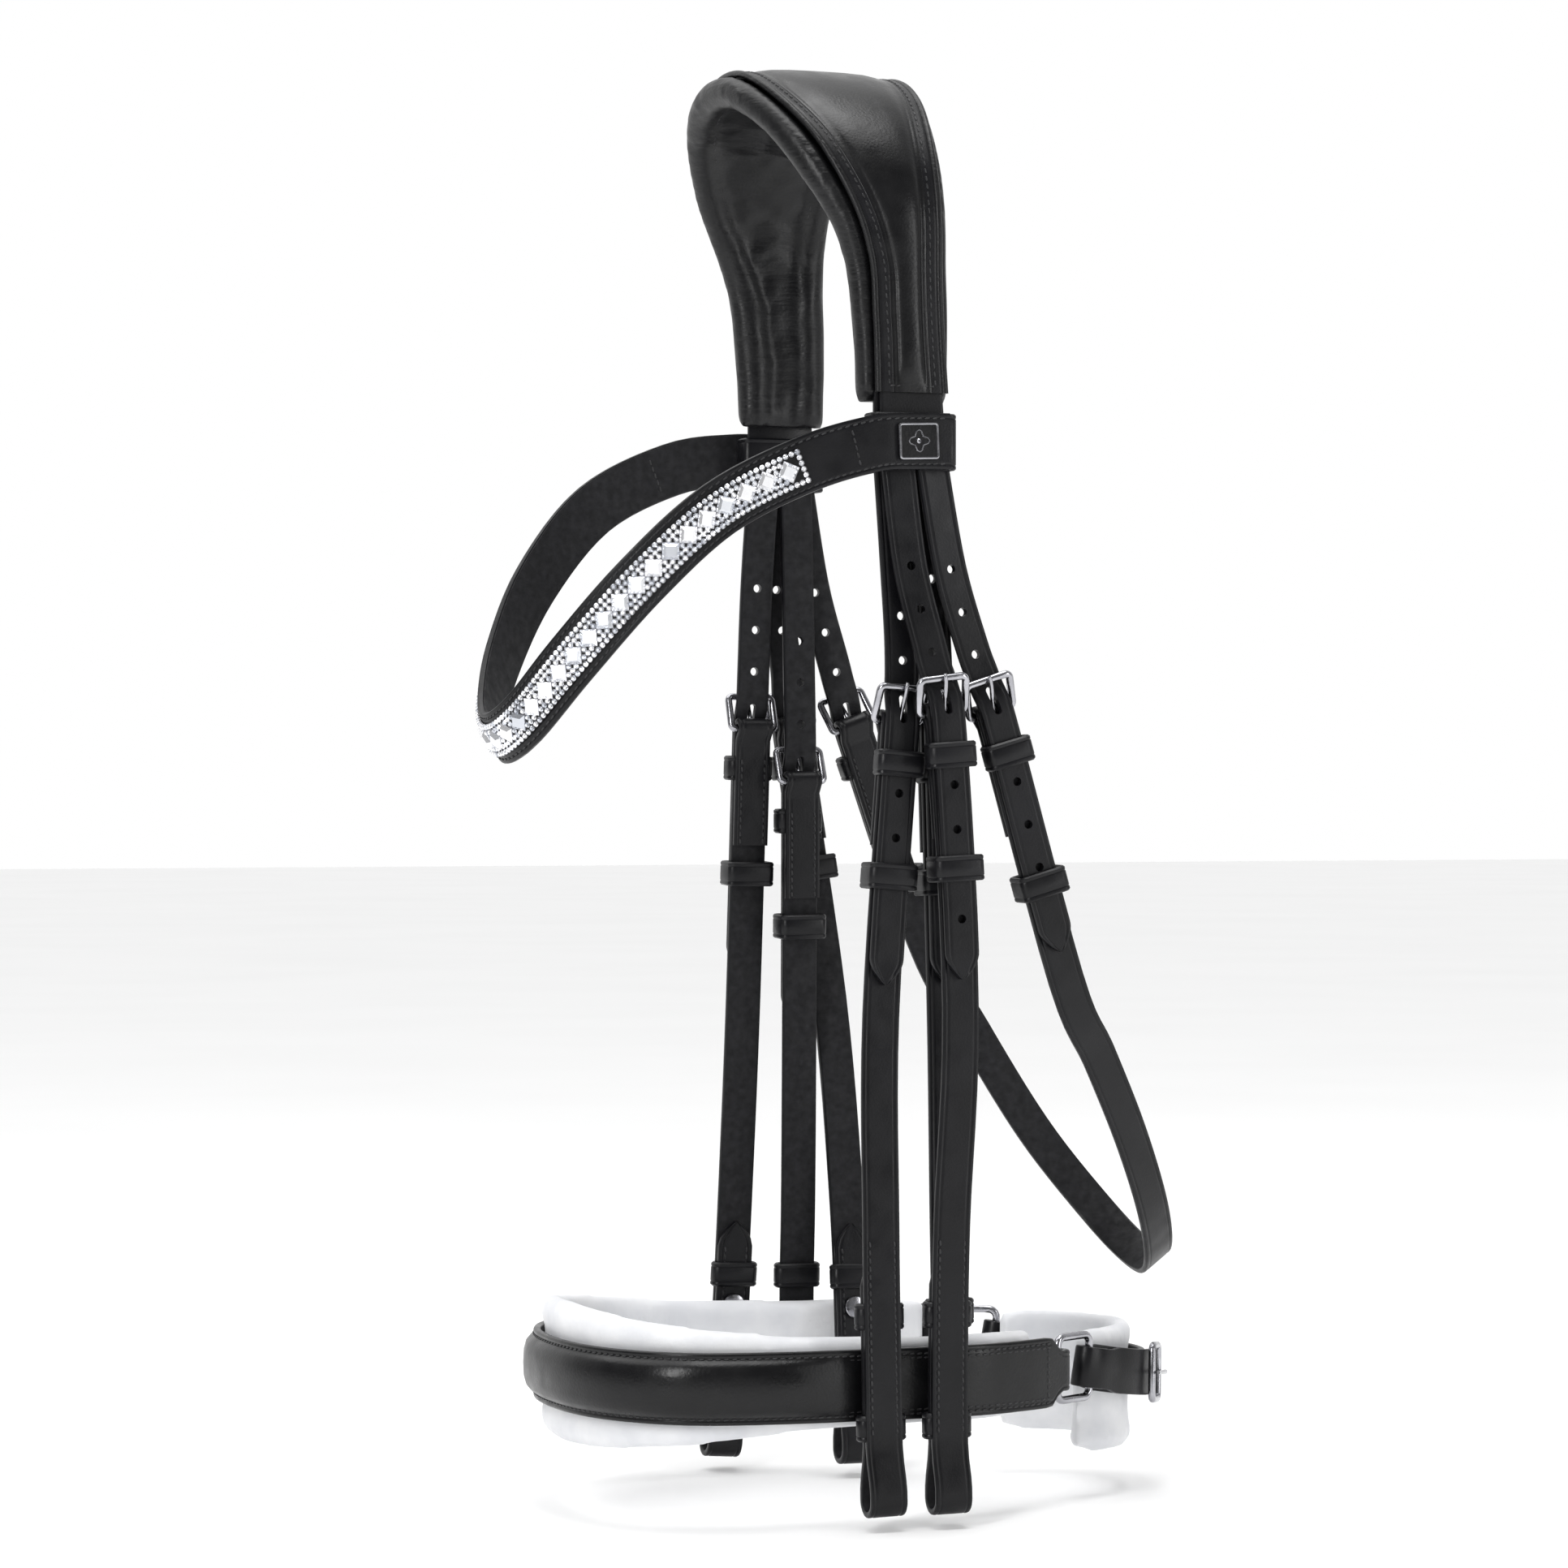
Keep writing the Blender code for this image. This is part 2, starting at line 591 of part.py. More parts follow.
def crown_sheet(name, radius, thickness, edges, end_z, columns, parts, material):
    """A leather layer over the crown. edges gives (front x, rear x) at reaches 0, 1/3, 2/3 ... 2."""
    padded = [edges[1], *edges, edges[-1]]
    rows = []
    for place, reach in arch_stations(radius, end_z):
        k = min(int(reach * 3), len(edges) - 2)
        low, high, _ = catmull([(*pair, 0) for pair in padded[k:k + 4]], reach * 3 - k)
        rows.append([place + Vector((low + (high - low) * c / columns, 0, 0))
                     for c in range(columns + 1)])
    obj = add_object(name, sheet_mesh(name, rows), parts, material)
    solidify(obj, thickness)
    return obj


def add_crown(parts, materials):
    padding = CROWN_INNER + PAD_THICK / 2
    crown_sheet("crown_padding", padding, PAD_THICK, PAD_EDGES, -PADDING_END, 3, parts,
                materials["crown_padding"])
    slip = CROWN_INNER + PAD_THICK + GAP + SLIP_THICK / 2
    crown_sheet("sliphead", slip, SLIP_THICK, SLIP_EDGES, -TONGUE_END, 1, parts,
                materials["leather"])
    panel = slip + SLIP_THICK / 2 + GAP + PANEL_THICK / 2
    crown_sheet("crown_headpiece", panel, PANEL_THICK, PANEL_EDGES, -TONGUE_END, 3, parts,
                materials["leather"])


def add_browband_loops(parts, materials):
    half_x = (LOOP_REAR_X - LOOP_FRONT_X) / 2
    middle = Matrix.Translation(Vector((LOOP_FRONT_X + half_x, 0, LOOP_TOP - LOOP_HEIGHT / 2)) * MM)
    for side, name in ((NEAR, "near_browband_loop"), (FAR, "far_browband_loop")):
        loop = band_object(name, half_x, LOOP_INNER_OUT, LOOP_OUTER_OUT, LOOP_HEIGHT, LOOP_WALL,
                           KEEPER_CORNER, parts, materials["leather"])
        loop.matrix_world = middle @ Matrix.Rotation(math.pi if side == NEAR else 0, 4, "Z")


def round_normals(points, droop):
    """Outward normals for a band that curves round the front of the head."""
    normals = []
    for x, y, _ in points:
        front = max(0.0, -x) / 107.5
        outward = Vector((-(front ** 2), y / 70.0, -droop * front ** 2))
        normals.append(outward.normalized())
    return normals


def add_browband(parts, materials):
    points = [Vector(p) for p in BROWBAND]
    line = Line(points, round_normals(BROWBAND, 0.5))
    flat = steps(0.0, line.length, 13.5)
    band = ribbon("browband", line, [(d, 0.0) for d in flat], LOOP_HEIGHT, BAND_THICK, parts,
           materials["leather"])
    first = line.lengths[INLAY_FIRST * Line.STEPS]
    last = line.lengths[INLAY_LAST * Line.STEPS]
    lift = BAND_THICK / 2 + 1.5 * GAP + INLAY_THICK / 2
    rail = [(d, lift) for d in flat if first <= d <= last]
    inlay = ribbon("browband_inlay", line, rail, INLAY_WIDTH, INLAY_THICK, parts,
                   materials["crystal"])
    moving = [band, inlay]
    for side, name in ((NEAR, "near_emblem_plate"), (FAR, "far_emblem_plate")):
        distance = EMBLEM_FROM_END if side == NEAR else line.length - EMBLEM_FROM_END
        place = line.matrix(distance, BAND_THICK / 2 + GAP + EMBLEM_SIZE[1] / 2)
        bm = bmesh.new()
        bmesh.ops.create_cube(bm, size=1, matrix=Matrix.Diagonal((*EMBLEM_SIZE, 1 / MM)) * MM)
        mesh = bpy.data.meshes.new(name)
        bm.to_mesh(mesh)
        bm.free()
        plate = add_object(name, mesh, parts, materials["steel"])
        plate.matrix_world = place
        bevel = plate.modifiers.new("Soft corners", "BEVEL")
        bevel.width = 0.0004
        bevel.segments = 1
        moving.append(plate)
    add_pivot("browband_pivot", pivot_at(*BAND_PIVOT), moving, parts)


def droop(x):
    """Height of the noseband's middle at x: it falls slightly to the rear."""
    share = (x - NOSE_PLAN[0][0]) / (NOSE_PLAN[-1][0] - NOSE_PLAN[0][0])
    return NOSE_FRONT_Z + (NOSE_REAR_Z - NOSE_FRONT_Z) * share


def both_sides(plan, height):
    """A plan of (x, outward), given from the front or the rear middle, as a line from near to far."""
    middle_first = plan[0][1] == 0.0
    half = plan if middle_first else plan[::-1]
    near = [(x, NEAR * out, height(x)) for x, out in half[:0:-1]]
    far = [(x, FAR * out, height(x)) for x, out in half]
    return [Vector(p) for p in near + far]


def level_line(points):
    """A line whose width stands upright; its outward side faces away from the head."""
    normals = []
    for i in range(len(points)):
        along = points[min(i + 1, len(points) - 1)] - points[max(i - 1, 0)]
        outward = along.cross(Vector((0, 0, 1)))
        if outward.dot(points[i] - Vector((10, 0, points[i].z))) < 0:
            outward = -outward
        normals.append(outward.normalized())
    return Line(points, normals)


def ring_fold(path_end, middle_lift, radius, first, last, width):
    return [(d, lift, width) for d, lift in turn(path_end, middle_lift, radius, first, last, 6)]


def add_noseband(parts, materials):
    line = level_line(both_sides(NOSE_PLAN, droop))
    fold = RING_RADIUS + GAP + NOSE_STRAP_THICK / 2
    inner = -(NOSE_STRAP_THICK + GAP)
    end = line.length
    narrow = RING_FOLD_WIDTH
    path = [(14.0, inner, narrow), (7.0, inner, narrow)]
    path += ring_fold(0.0, -fold, fold, 180, 0, narrow)
    path += [(5.0, 0.0, narrow), (9.0, 0.0, NOSE_STRAP_HEIGHT)]
    path += [(d, 0.0) for d in steps(9.0, end - 9.0, 15.0)[1:]]
    path += [(end - 5.0, 0.0, narrow)]
    path += ring_fold(end, -fold, fold, 0, -180, narrow)
    path += [(end - 7.0, inner, narrow), (end - 14.0, inner, narrow)]
    strap = ribbon("noseband_strap", line, path, NOSE_STRAP_HEIGHT, NOSE_STRAP_THICK, parts,
           materials["leather"])
    pad_line = level_line(both_sides(PAD_PLAN, droop))
    heights = PAD_HEIGHTS[:0:-1] + PAD_HEIGHTS
    share = (len(heights) - 1) / pad_line.length
    pad_path = []
    for distance in steps(0.0, pad_line.length, 14.0):
        place = min(distance * share, len(heights) - 1.001)
        k = int(place)
        pad_path.append((distance, 0.0, heights[k] + (heights[k + 1] - heights[k]) * (place - k)))
    padding = ribbon("noseband_padding", pad_line, pad_path, 0.0, NOSE_PAD_THICK, parts,
                     materials["padding"])
    moving = [strap, padding]
    for name, distance in (("near_crank_ring", -RING_HALF_WIDTH),
                           ("far_crank_ring", end + RING_HALF_WIDTH)):
        place = line.matrix(distance, -fold)
        corners = [place @ (Vector((x, 0, z)) * MM) / MM
                   for x, z in frame_corners(RING_HALF_HEIGHT, RING_HALF_WIDTH, 3.0)]
        moving.append(wire(name, corners, RING_RADIUS, True, parts, materials["steel"]))
    return moving


def add_crank(parts, materials):
    """The strap behind the jaw: looped through both rings, its ends lapped on the outside."""
    def height(x):
        share = (x - CRANK_PLAN[0][0]) / (CRANK_PLAN[-1][0] - CRANK_PLAN[0][0])
        return CRANK_FRONT_Z + (CRANK_REAR_Z - CRANK_FRONT_Z) * share
    line = level_line(both_sides(CRANK_PLAN, height))
    fold = RING_RADIUS + 2 * GAP + LEAF_THICK / 2
    end = line.length
    narrow = RING_FOLD_WIDTH
    path = [(36.0, LEAF_PITCH), (24.0, LEAF_PITCH), (13.0, LEAF_PITCH, narrow),
            (3.0, 2 * fold, narrow)]
    path += ring_fold(0.0, fold, fold, 0, 180, narrow)
    path += [(7.0, 0.0, narrow)]
    path += [(d, 0.0) for d in steps(12.0, end - 12.0, 9.0)]
    path += [(end - 7.0, 0.0, narrow)]
    path += ring_fold(end, fold, fold, 180, 360, narrow)
    path += [(end - 3.0, 2 * fold, narrow), (end - 13.0, LEAF_PITCH, narrow),
             (end - 22.0, LEAF_PITCH)]
    strap = ribbon("crank_strap", line, path, CRANK_WIDTH, LEAF_THICK, parts,
                   materials["leather"])
    frame_lift = LEAF_PITCH + LEAF_THICK / 2 + GAP + WIRE_RADIUS
    place = line.matrix(34.0, frame_lift)
    corners = [place @ (Vector((x, 0, z)) * MM) / MM
               for x, z in frame_corners(CRANK_WIDTH / 2 + 1.4, 6.4, 2.2)]
    frame = wire("crank_buckle", corners, WIRE_RADIUS, True, parts, materials["steel"])
    out = WIRE_RADIUS + GAP + PRONG_RADIUS
    points = [place @ (Vector((0, out, z)) * MM) / MM for z in (-7.6, 7.8)]
    prong = wire("crank_prong", points, PRONG_RADIUS, False, parts, materials["steel"])
    bar = place @ pivot_at(0, 0, -6.4)
    prong_pivot = add_pivot("crank_prong_pivot", bar, [prong], parts)
    chin_line = level_line(both_sides(CHIN_PLAN, lambda x: CHIN_Z))
    flat = [(d, 0.0) for d in steps(0.0, chin_line.length, 9.0)]
    pad = ribbon("chin_pad", chin_line, flat, CHIN_HEIGHT, CHIN_THICK, parts,
                 materials["padding"])
    return [strap, frame, prong_pivot, pad]


def throat_normal(point):
    side = max(-1.0, min(1.0, point[1] / 66.0))
    below = math.sqrt(1 - side * side)
    return Vector((0.6 * below, side, -0.8 * below))


def add_throatlatch(parts, cutters, materials):
    points = THROAT_NEAR + THROAT_TURN + THROAT_FAR[::-1]
    loop = Line([Vector(p) for p in points], [throat_normal(p) for p in points])
    ends = {}
    for side, prefix, route, buckle_z in (
            (NEAR, "near_throat", THROAT_NEAR + THROAT_TURN[:3], THROAT_NEAR_BUCKLE_Z),
            (FAR, "far_throat", THROAT_FAR + THROAT_TURN[:-4:-1], THROAT_FAR_BUCKLE_Z)):
        line = Line([Vector(p) for p in route], [throat_normal(p) for p in route])
        buckle = line.at_height(buckle_z)
        tip = buckle + BUCKLE_HALF_LENGTH + THROAT_TIP_LENGTH
        billet = ribbon(prefix + "_billet", line, billet_path(BILLET_START, buckle, tip), BILLET_WIDTH,
                        BILLET_THICK, parts, materials["leather"], tip=True)
        ends[side] = (line, buckle, billet, prefix, tip)
    near_bar = ends[NEAR][1] + BUCKLE_HALF_LENGTH
    far_bar = loop.length - ends[FAR][1] - BUCKLE_HALF_LENGTH
    inner = LEAF_OUT - LEAF_PITCH
    path = [(near_bar + d, inner) for d in steps(TOP_RETURN, 12.0, 16.0)]
    path += turn(near_bar, LOW_BAR_OUT, FOLD_RADIUS, 180, 0, 6)
    path += [(d, LEAF_OUT) for d in steps(near_bar, far_bar, 14.0)[1:-1]]
    path += turn(far_bar, LOW_BAR_OUT, FOLD_RADIUS, 0, -180, 6)
    path += [(far_bar - d, inner) for d in steps(12.0, TOP_RETURN, 16.0)]
    strap = ribbon("throatlatch_strap", loop, path, STRAP_WIDTH, LEAF_THICK, parts,
                   materials["leather"])
    outer = BILLET_OUT + BILLET_THICK / 2
    low = inner - LEAF_THICK / 2
    moving = [strap]
    for line, buckle, billet, prefix, tip in ends.values():
        frame, prong_pivot = add_buckle(prefix, line, buckle, parts, materials)
        prong_slots(strap, billet, line, buckle, cutters)
        punch(billet, line, buckle, tip, cutters)
        bite = LEAF_OUT - LEAF_THICK / 2 + KEEPER_BITE
        sewn_keeper(strap, line, buckle + SEWN_KEEPER_BELOW, bite, outer + KEEPER_GAP, cutters)
        slide = runner(prefix + "_runner", line, buckle + THROAT_RUNNER_BELOW, low, outer, parts,
                       materials["leather"])
        moving += [billet, frame, prong_pivot, slide]
    start = loop.points[0]
    add_pivot("throatlatch_pivot", pivot_at(start.x, 0, PIVOT_Z), moving, parts)


def main():
    clear_scene()
    parts = new_collection("double_bridle")
    cutters = new_collection("cutters", hidden=True)
    materials = {
        "leather": make_material("black_leather", (0.012, 0.012, 0.014), 0.45),
        "padding": make_material("white_padding", (0.85, 0.85, 0.86), 0.6),
        "crown_padding": make_material("black_padding", (0.01, 0.01, 0.012), 0.5),
        "steel": make_material("polished_steel", (0.78, 0.78, 0.8), 0.15, 1.0),
        "crystal": make_material("crystal_rail", (0.7, 0.74, 0.8), 0.08, 0.6),
    }
    add_crown(parts, materials)
    add_browband_loops(parts, materials)
    add_browband(parts, materials)
    for prefix, spec in LINES.items():
        add_hanging_strap(prefix, spec, parts, cutters, materials)
    add_throatlatch(parts, cutters, materials)
    moving = add_noseband(parts, materials) + add_crank(parts, materials)
    add_pivot("noseband_pivot", pivot_at(NOSE_TILT_X, 0, NOSE_TILT_Z), moving, parts)


main()
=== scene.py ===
"""Looks of the double bridle: leather, padding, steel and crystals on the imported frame.

Shapes are worked out in millimetres and turned into metres when their mesh is made.
Each strap repeats the frame's own route, with a finer section, so that it covers its CAD node.
"""

import json
import math

import bmesh
import bpy
import numpy as np
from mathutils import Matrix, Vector, noise

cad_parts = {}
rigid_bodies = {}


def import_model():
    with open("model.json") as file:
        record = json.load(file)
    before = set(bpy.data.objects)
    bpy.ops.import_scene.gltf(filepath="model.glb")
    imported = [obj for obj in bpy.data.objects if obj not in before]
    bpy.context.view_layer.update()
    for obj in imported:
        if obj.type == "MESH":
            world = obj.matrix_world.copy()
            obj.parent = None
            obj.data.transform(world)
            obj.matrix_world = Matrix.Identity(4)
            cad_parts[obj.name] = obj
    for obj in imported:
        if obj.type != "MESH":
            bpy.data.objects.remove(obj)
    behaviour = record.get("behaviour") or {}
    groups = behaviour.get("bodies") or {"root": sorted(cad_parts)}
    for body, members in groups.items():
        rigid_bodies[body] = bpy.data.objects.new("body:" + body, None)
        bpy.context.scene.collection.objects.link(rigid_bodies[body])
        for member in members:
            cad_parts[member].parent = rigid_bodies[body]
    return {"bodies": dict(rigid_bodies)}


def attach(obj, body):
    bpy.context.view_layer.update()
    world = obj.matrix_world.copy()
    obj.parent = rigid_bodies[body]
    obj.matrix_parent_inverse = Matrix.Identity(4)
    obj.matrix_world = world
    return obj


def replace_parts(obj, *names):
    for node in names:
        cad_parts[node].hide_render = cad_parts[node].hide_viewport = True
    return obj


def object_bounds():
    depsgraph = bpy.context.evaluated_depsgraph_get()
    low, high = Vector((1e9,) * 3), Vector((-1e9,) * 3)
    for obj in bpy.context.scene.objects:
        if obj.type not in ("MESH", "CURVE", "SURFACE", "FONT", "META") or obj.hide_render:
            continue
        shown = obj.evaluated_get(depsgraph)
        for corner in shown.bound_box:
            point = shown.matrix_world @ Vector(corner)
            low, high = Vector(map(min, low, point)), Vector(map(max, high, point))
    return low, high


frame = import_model()
CAD_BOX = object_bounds()

MM = 0.001
NEAR = -1
FAR = 1

# Sizes of the straps and fittings, as in the frame
GAP = 0.35
STRAP_WIDTH = 13.0
BILLET_WIDTH = 12.0
BILLET_THICK = 2.4
LEAF_THICK = 2.2
WIRE_RADIUS = 1.3
PRONG_RADIUS = 0.85
BAR_REACH = 5.7
LOW_BAR = -2.1
TOP_BAR = BILLET_THICK / 2 + GAP + WIRE_RADIUS
FOLD_RADIUS = WIRE_RADIUS + GAP + LEAF_THICK / 2
LEAF_LIFT = LOW_BAR + FOLD_RADIUS
LEAF_PITCH = LEAF_THICK + GAP
INNER_LIFT = LEAF_LIFT - LEAF_PITCH
BILLET_LIFT = LEAF_LIFT + LEAF_THICK / 2 + GAP + BILLET_THICK / 2
BILLET_START = 1.5
TOP_RETURN = 42.0
BIT_RETURN = 80.0
BIT_RADIUS = 4.6
KEEPER_HEIGHT = 8.7
KEEPER_WALL = 1.7
RUNNER_WALL = 1.5
KEEPER_GAP = 0.75
HOLE_SHOWN = 1.5
HOLE_PITCH = 15.0
HOLES_ABOVE = 3
KEEPER_BELOW_BUCKLE = 20.0
RUNNER_BELOW_BUCKLE = 58.0
THROAT_RUNNER_BELOW = 66.0
STUD_ABOVE = 50.0
HANGER_BAND_Z = -410.5

# Crown, from the inside out
CROWN_INNER = 52.0
CROWN_PAD = 8.0
SLIP_THICK = 2.0
PANEL_THICK = 2.6
TONGUE_END = 123.2
# A reach of 1 is the end of the arch and 2 the end of the tongue
TONGUE_REACH = 1.99
SLIP_RADIUS = CROWN_INNER + CROWN_PAD + GAP + SLIP_THICK / 2
PANEL_RADIUS = SLIP_RADIUS + SLIP_THICK / 2 + GAP + PANEL_THICK / 2

# Browband
BAND_HEIGHT = 19.0
BAND_THICK = 2.4
INLAY_WIDTH = 12.0

# Noseband
NOSE_HEIGHT = 24.0
NOSE_THICK = 2.6
RING_RADIUS = 1.4
RING_HALF_HEIGHT = 10.8
RING_HALF_WIDTH = 8.8
RING_FOLD_WIDTH = 14.0
CRANK_WIDTH = 16.0

# Each hanging line: points from the loop down to its end, and the heights of what sits on it.
# side, points (x, outward, z), buckle height, billet tip height, does it end in a bit loop
LINES = {
    "near_front_cheek": dict(
        side=NEAR, bit=True, buckle_z=-206, tip_z=-300,
        points=[(15.4, 61.2, -124), (17.6, 62.0, -160), (19.0, 62.6, -190), (17.6, 63.2, -215),
                (9.6, 66.6, -310), (7.3, 72.5, -380), (6.8, 75.6, -430), (7.5, 76.0, -471)]),
    "near_rear_cheek": dict(
        side=NEAR, bit=True, buckle_z=-203, tip_z=-298,
        points=[(16.7, 64.25, -124), (20.6, 66.4, -160), (26.6, 71.0, -190), (30.6, 73.0, -213),
                (35.0, 75.0, -308), (31.0, 77.0, -380), (30.0, 77.5, -430), (30.2, 77.5, -471)]),
    "far_front_cheek": dict(
        side=FAR, bit=True, buckle_z=-207, tip_z=-300,
        points=[(15.0, 61.2, -124), (12.8, 62.0, -160), (11.8, 62.6, -190), (11.2, 63.2, -215),
                (9.8, 67.4, -310), (8.8, 73.0, -380), (7.0, 75.6, -430), (3.9, 76.0, -471)]),
    "far_rear_cheek": dict(
        side=FAR, bit=True, buckle_z=-206, tip_z=-300,
        points=[(16.7, 64.25, -124), (21.4, 66.4, -160), (27.4, 71.0, -190), (30.4, 72.6, -215),
                (43.0, 67.0, -310), (44.5, 54.0, -380), (43.5, 45.5, -430), (43.0, 42.5, -471)]),
    "near_noseband_hanger": dict(
        side=NEAR, bit=False, buckle_z=-208, tip_z=-300,
        points=[(27.8, 61.2, -124), (30.8, 59.0, -160), (33.4, 57.0, -190), (34.4, 56.6, -215),
                (35.6, 60.0, -310), (35.8, 62.0, -380), (35.8, 63.5, -414), (35.8, 63.6, -440)]),
    "far_noseband_hanger": dict(
        side=FAR, bit=False, buckle_z=-226, tip_z=-318,
        points=[(27.6, 61.2, -124), (27.4, 59.0, -160), (27.2, 57.0, -190), (27.4, 56.0, -235),
                (28.6, 59.8, -325), (29.0, 62.0, -384), (29.0, 63.5, -414), (29.0, 63.6, -440)]),
}

# Throatlatch: near loop, round behind the jaw, far loop. Points (x, y, z) and outward normals.
THROAT_NEAR = [(29.1, -64.25, -124), (35.4, -65.2, -160), (43.6, -65.6, -187), (51.4, -66.6, -210),
               (77.6, -66.0, -299)]
THROAT_TURN = [(94.0, -57.0, -326), (112.0, -44.0, -355), (128.0, -28.0, -383), (138.5, -8.0, -401),
               (139.5, 12.0, -400), (131.0, 30.0, -385), (114.0, 45.0, -358), (95.0, 57.0, -322)]
THROAT_FAR = [(29.1, 64.25, -124), (35.6, 65.2, -160), (43.4, 65.6, -187), (51.0, 66.6, -210),
              (79.0, 65.0, -289)]
THROAT_NEAR_BUCKLE_Z = -203
THROAT_FAR_BUCKLE_Z = -206
THROAT_TIP_LENGTH = 84.0

# Browband centre line from the near loop to the far loop, (x, y, z)
BROWBAND = [(33.5, -69.6, -117.5), (20.0, -69.6, -117.8), (6.0, -69.6, -119.0), (-18.0, -67.0, -126.5),
            (-46.0, -61.0, -141.5), (-70.0, -52.0, -165.0), (-89.5, -38.0, -191.0),
            (-100.5, -20.0, -210.5), (-104.0, 0.0, -217.0), (-101.0, 18.0, -210.0),
            (-91.5, 36.0, -190.5), (-74.5, 51.0, -162.5), (-49.5, 61.0, -135.0),
            (-18.0, 67.0, -119.5), (6.0, 69.6, -115.5), (20.0, 69.6, -115.5), (33.5, 69.6, -115.5)]
INLAY_FIRST = 3
INLAY_LAST = 13

# Noseband plan line, (x, outward); it droops from the front to the rings
NOSE_PLAN = [(-84.5, 0.0), (-81.5, 26.0), (-71.0, 47.0), (-53.0, 61.5), (-24.0, 67.3), (10.0, 68.0),
             (44.0, 67.0), (66.0, 60.3), (83.5, 51.7)]
PAD_PLAN = [(-78.3, 0.0), (-75.5, 24.0), (-66.0, 42.5), (-49.5, 54.5), (-23.0, 58.0), (10.0, 58.5),
            (42.0, 57.5), (60.0, 52.4), (72.0, 46.6)]
PAD_HEIGHTS = [49.0, 47.0, 43.0, 38.0, 33.0, 31.0, 30.0, 30.0, 29.0]
NOSE_FRONT_Z = -433.0
NOSE_REAR_Z = -434.0
CHIN_PLAN = [(95.5, 31.5), (107.0, 29.0), (119.5, 19.0), (126.5, 0.0)]
CRANK_PLAN = [(96.1, 37.8), (110.0, 36.0), (125.0, 24.0), (133.5, 0.0)]
CHIN_HEIGHT = 44.0
CHIN_Z = -444.0
CRANK_FRONT_Z = -434.5
CRANK_REAR_Z = -441.0


def steps(start, end, longest):
    """Evenly spaced values from start to end, no further apart than longest."""
    count = max(1, math.ceil(abs(end - start) / longest))
    return [start + (end - start) * i / count for i in range(count + 1)]


def smoothstep(low, high, value):
    share = min(max((value - low) / (high - low), 0.0), 1.0)
    return share * share * (3 - 2 * share)


def unit(vectors):
    return vectors / np.linalg.norm(vectors, axis=-1, keepdims=True)


def catmull(values, count):
    """Smooth samples through the values, count to each span."""
    values = np.array(values, float)
    padded = np.concatenate([values[:1], values, values[-1:]])
    out = []
    for i in range(len(values) - 1):
        a, b, c, d = padded[i:i + 4]
        for step in range(count):
            t = step / count
            out.append(0.5 * (2 * b + (c - a) * t + (2 * a - 5 * b + 4 * c - d) * t * t
                              + (3 * b - a - 3 * c + d) * t ** 3))
    return np.array(out + [values[-1]])


class Line:
    """A smooth line with an outward side. Straps, buckles and keepers are placed along it."""

    STEPS = 6

    def __init__(self, points, outward):
        self.points = catmull(points, self.STEPS)
        self.outward = catmull(outward, self.STEPS)
        gaps = np.linalg.norm(np.diff(self.points, axis=0), axis=1)
        self.lengths = np.concatenate([[0.0], np.cumsum(gaps)])
        self.length = self.lengths[-1]
        tangents = np.empty_like(self.points)
        tangents[1:-1] = self.points[2:] - self.points[:-2]
        tangents[0] = self.points[1] - self.points[0]
        tangents[-1] = self.points[-1] - self.points[-2]
        self.tangents = unit(tangents)

    def at_height(self, z):
        """Distance along the line where it first comes down to height z."""
        i = int(np.argmax(self.points[:, 2] <= z))
        share = (self.points[i - 1, 2] - z) / (self.points[i - 1, 2] - self.points[i, 2])
        return self.lengths[i - 1] + share * (self.lengths[i] - self.lengths[i - 1])

    def sample(self, values, distance):
        return np.array([np.interp(distance, self.lengths, values[:, k]) for k in range(3)])

    def frame(self, distance, lift=0.0):
        """Point lifted outward, across direction and outward direction at a distance."""
        inside = min(max(distance, 0.0), self.length)
        along = unit(self.sample(self.tangents, inside))
        point = self.sample(self.points, inside) + along * (distance - inside)
        normal = self.sample(self.outward, inside)
        normal = unit(normal - along * normal.dot(along))
        return point + normal * lift, np.cross(normal, -along), normal

    def matrix(self, distance, lift=0.0):
        """Placement in millimetres: local X across, Y outward, Z back up the line."""
        point, across, normal = self.frame(distance, lift)
        place = np.eye(4)
        place[:3, 0] = across
        place[:3, 1] = normal
        place[:3, 2] = np.cross(across, normal)
        place[:3, 3] = point
        return place


def placed(place, points):
    """Local points (in millimetres) put where the placement says."""
    return np.asarray(points, float) @ place[:3, :3].T + place[:3, 3]


class Leaf:
    """The middle line of one leather leaf: points, across and grain-side directions."""

    def __init__(self, points, across):
        self.points = np.array(points, float)
        across = np.array(across, float)
        tangents = unit(np.gradient(self.points, axis=0))
        self.normals = unit(np.cross(across, tangents))
        self.across = unit(np.cross(tangents, self.normals))
        gaps = np.linalg.norm(np.diff(self.points, axis=0), axis=1)
        self.lengths = np.concatenate([[0.0], np.cumsum(gaps)])
        self.length = self.lengths[-1]

    @classmethod
    def along(cls, line, path):
        """The leaf that follows (distance, lift) pairs along a line."""
        frames = [line.frame(distance, lift) for distance, lift in path]
        return cls([f[0] for f in frames], [f[1] for f in frames])

    def sample(self, values, s):
        return np.array([np.interp(s, self.lengths, values[:, k]) for k in range(3)])

    def at(self, s, x, lift):
        """A point on the leaf: s along it, x across it, lift towards its grain side."""
        return (self.sample(self.points, s) + self.sample(self.across, s) * x
                + self.sample(self.normals, s) * lift)

    def directions(self, s):
        normal = unit(self.sample(self.normals, s))
        across = unit(self.sample(self.across, s))
        return across, normal, np.cross(across, normal)


# Meshes

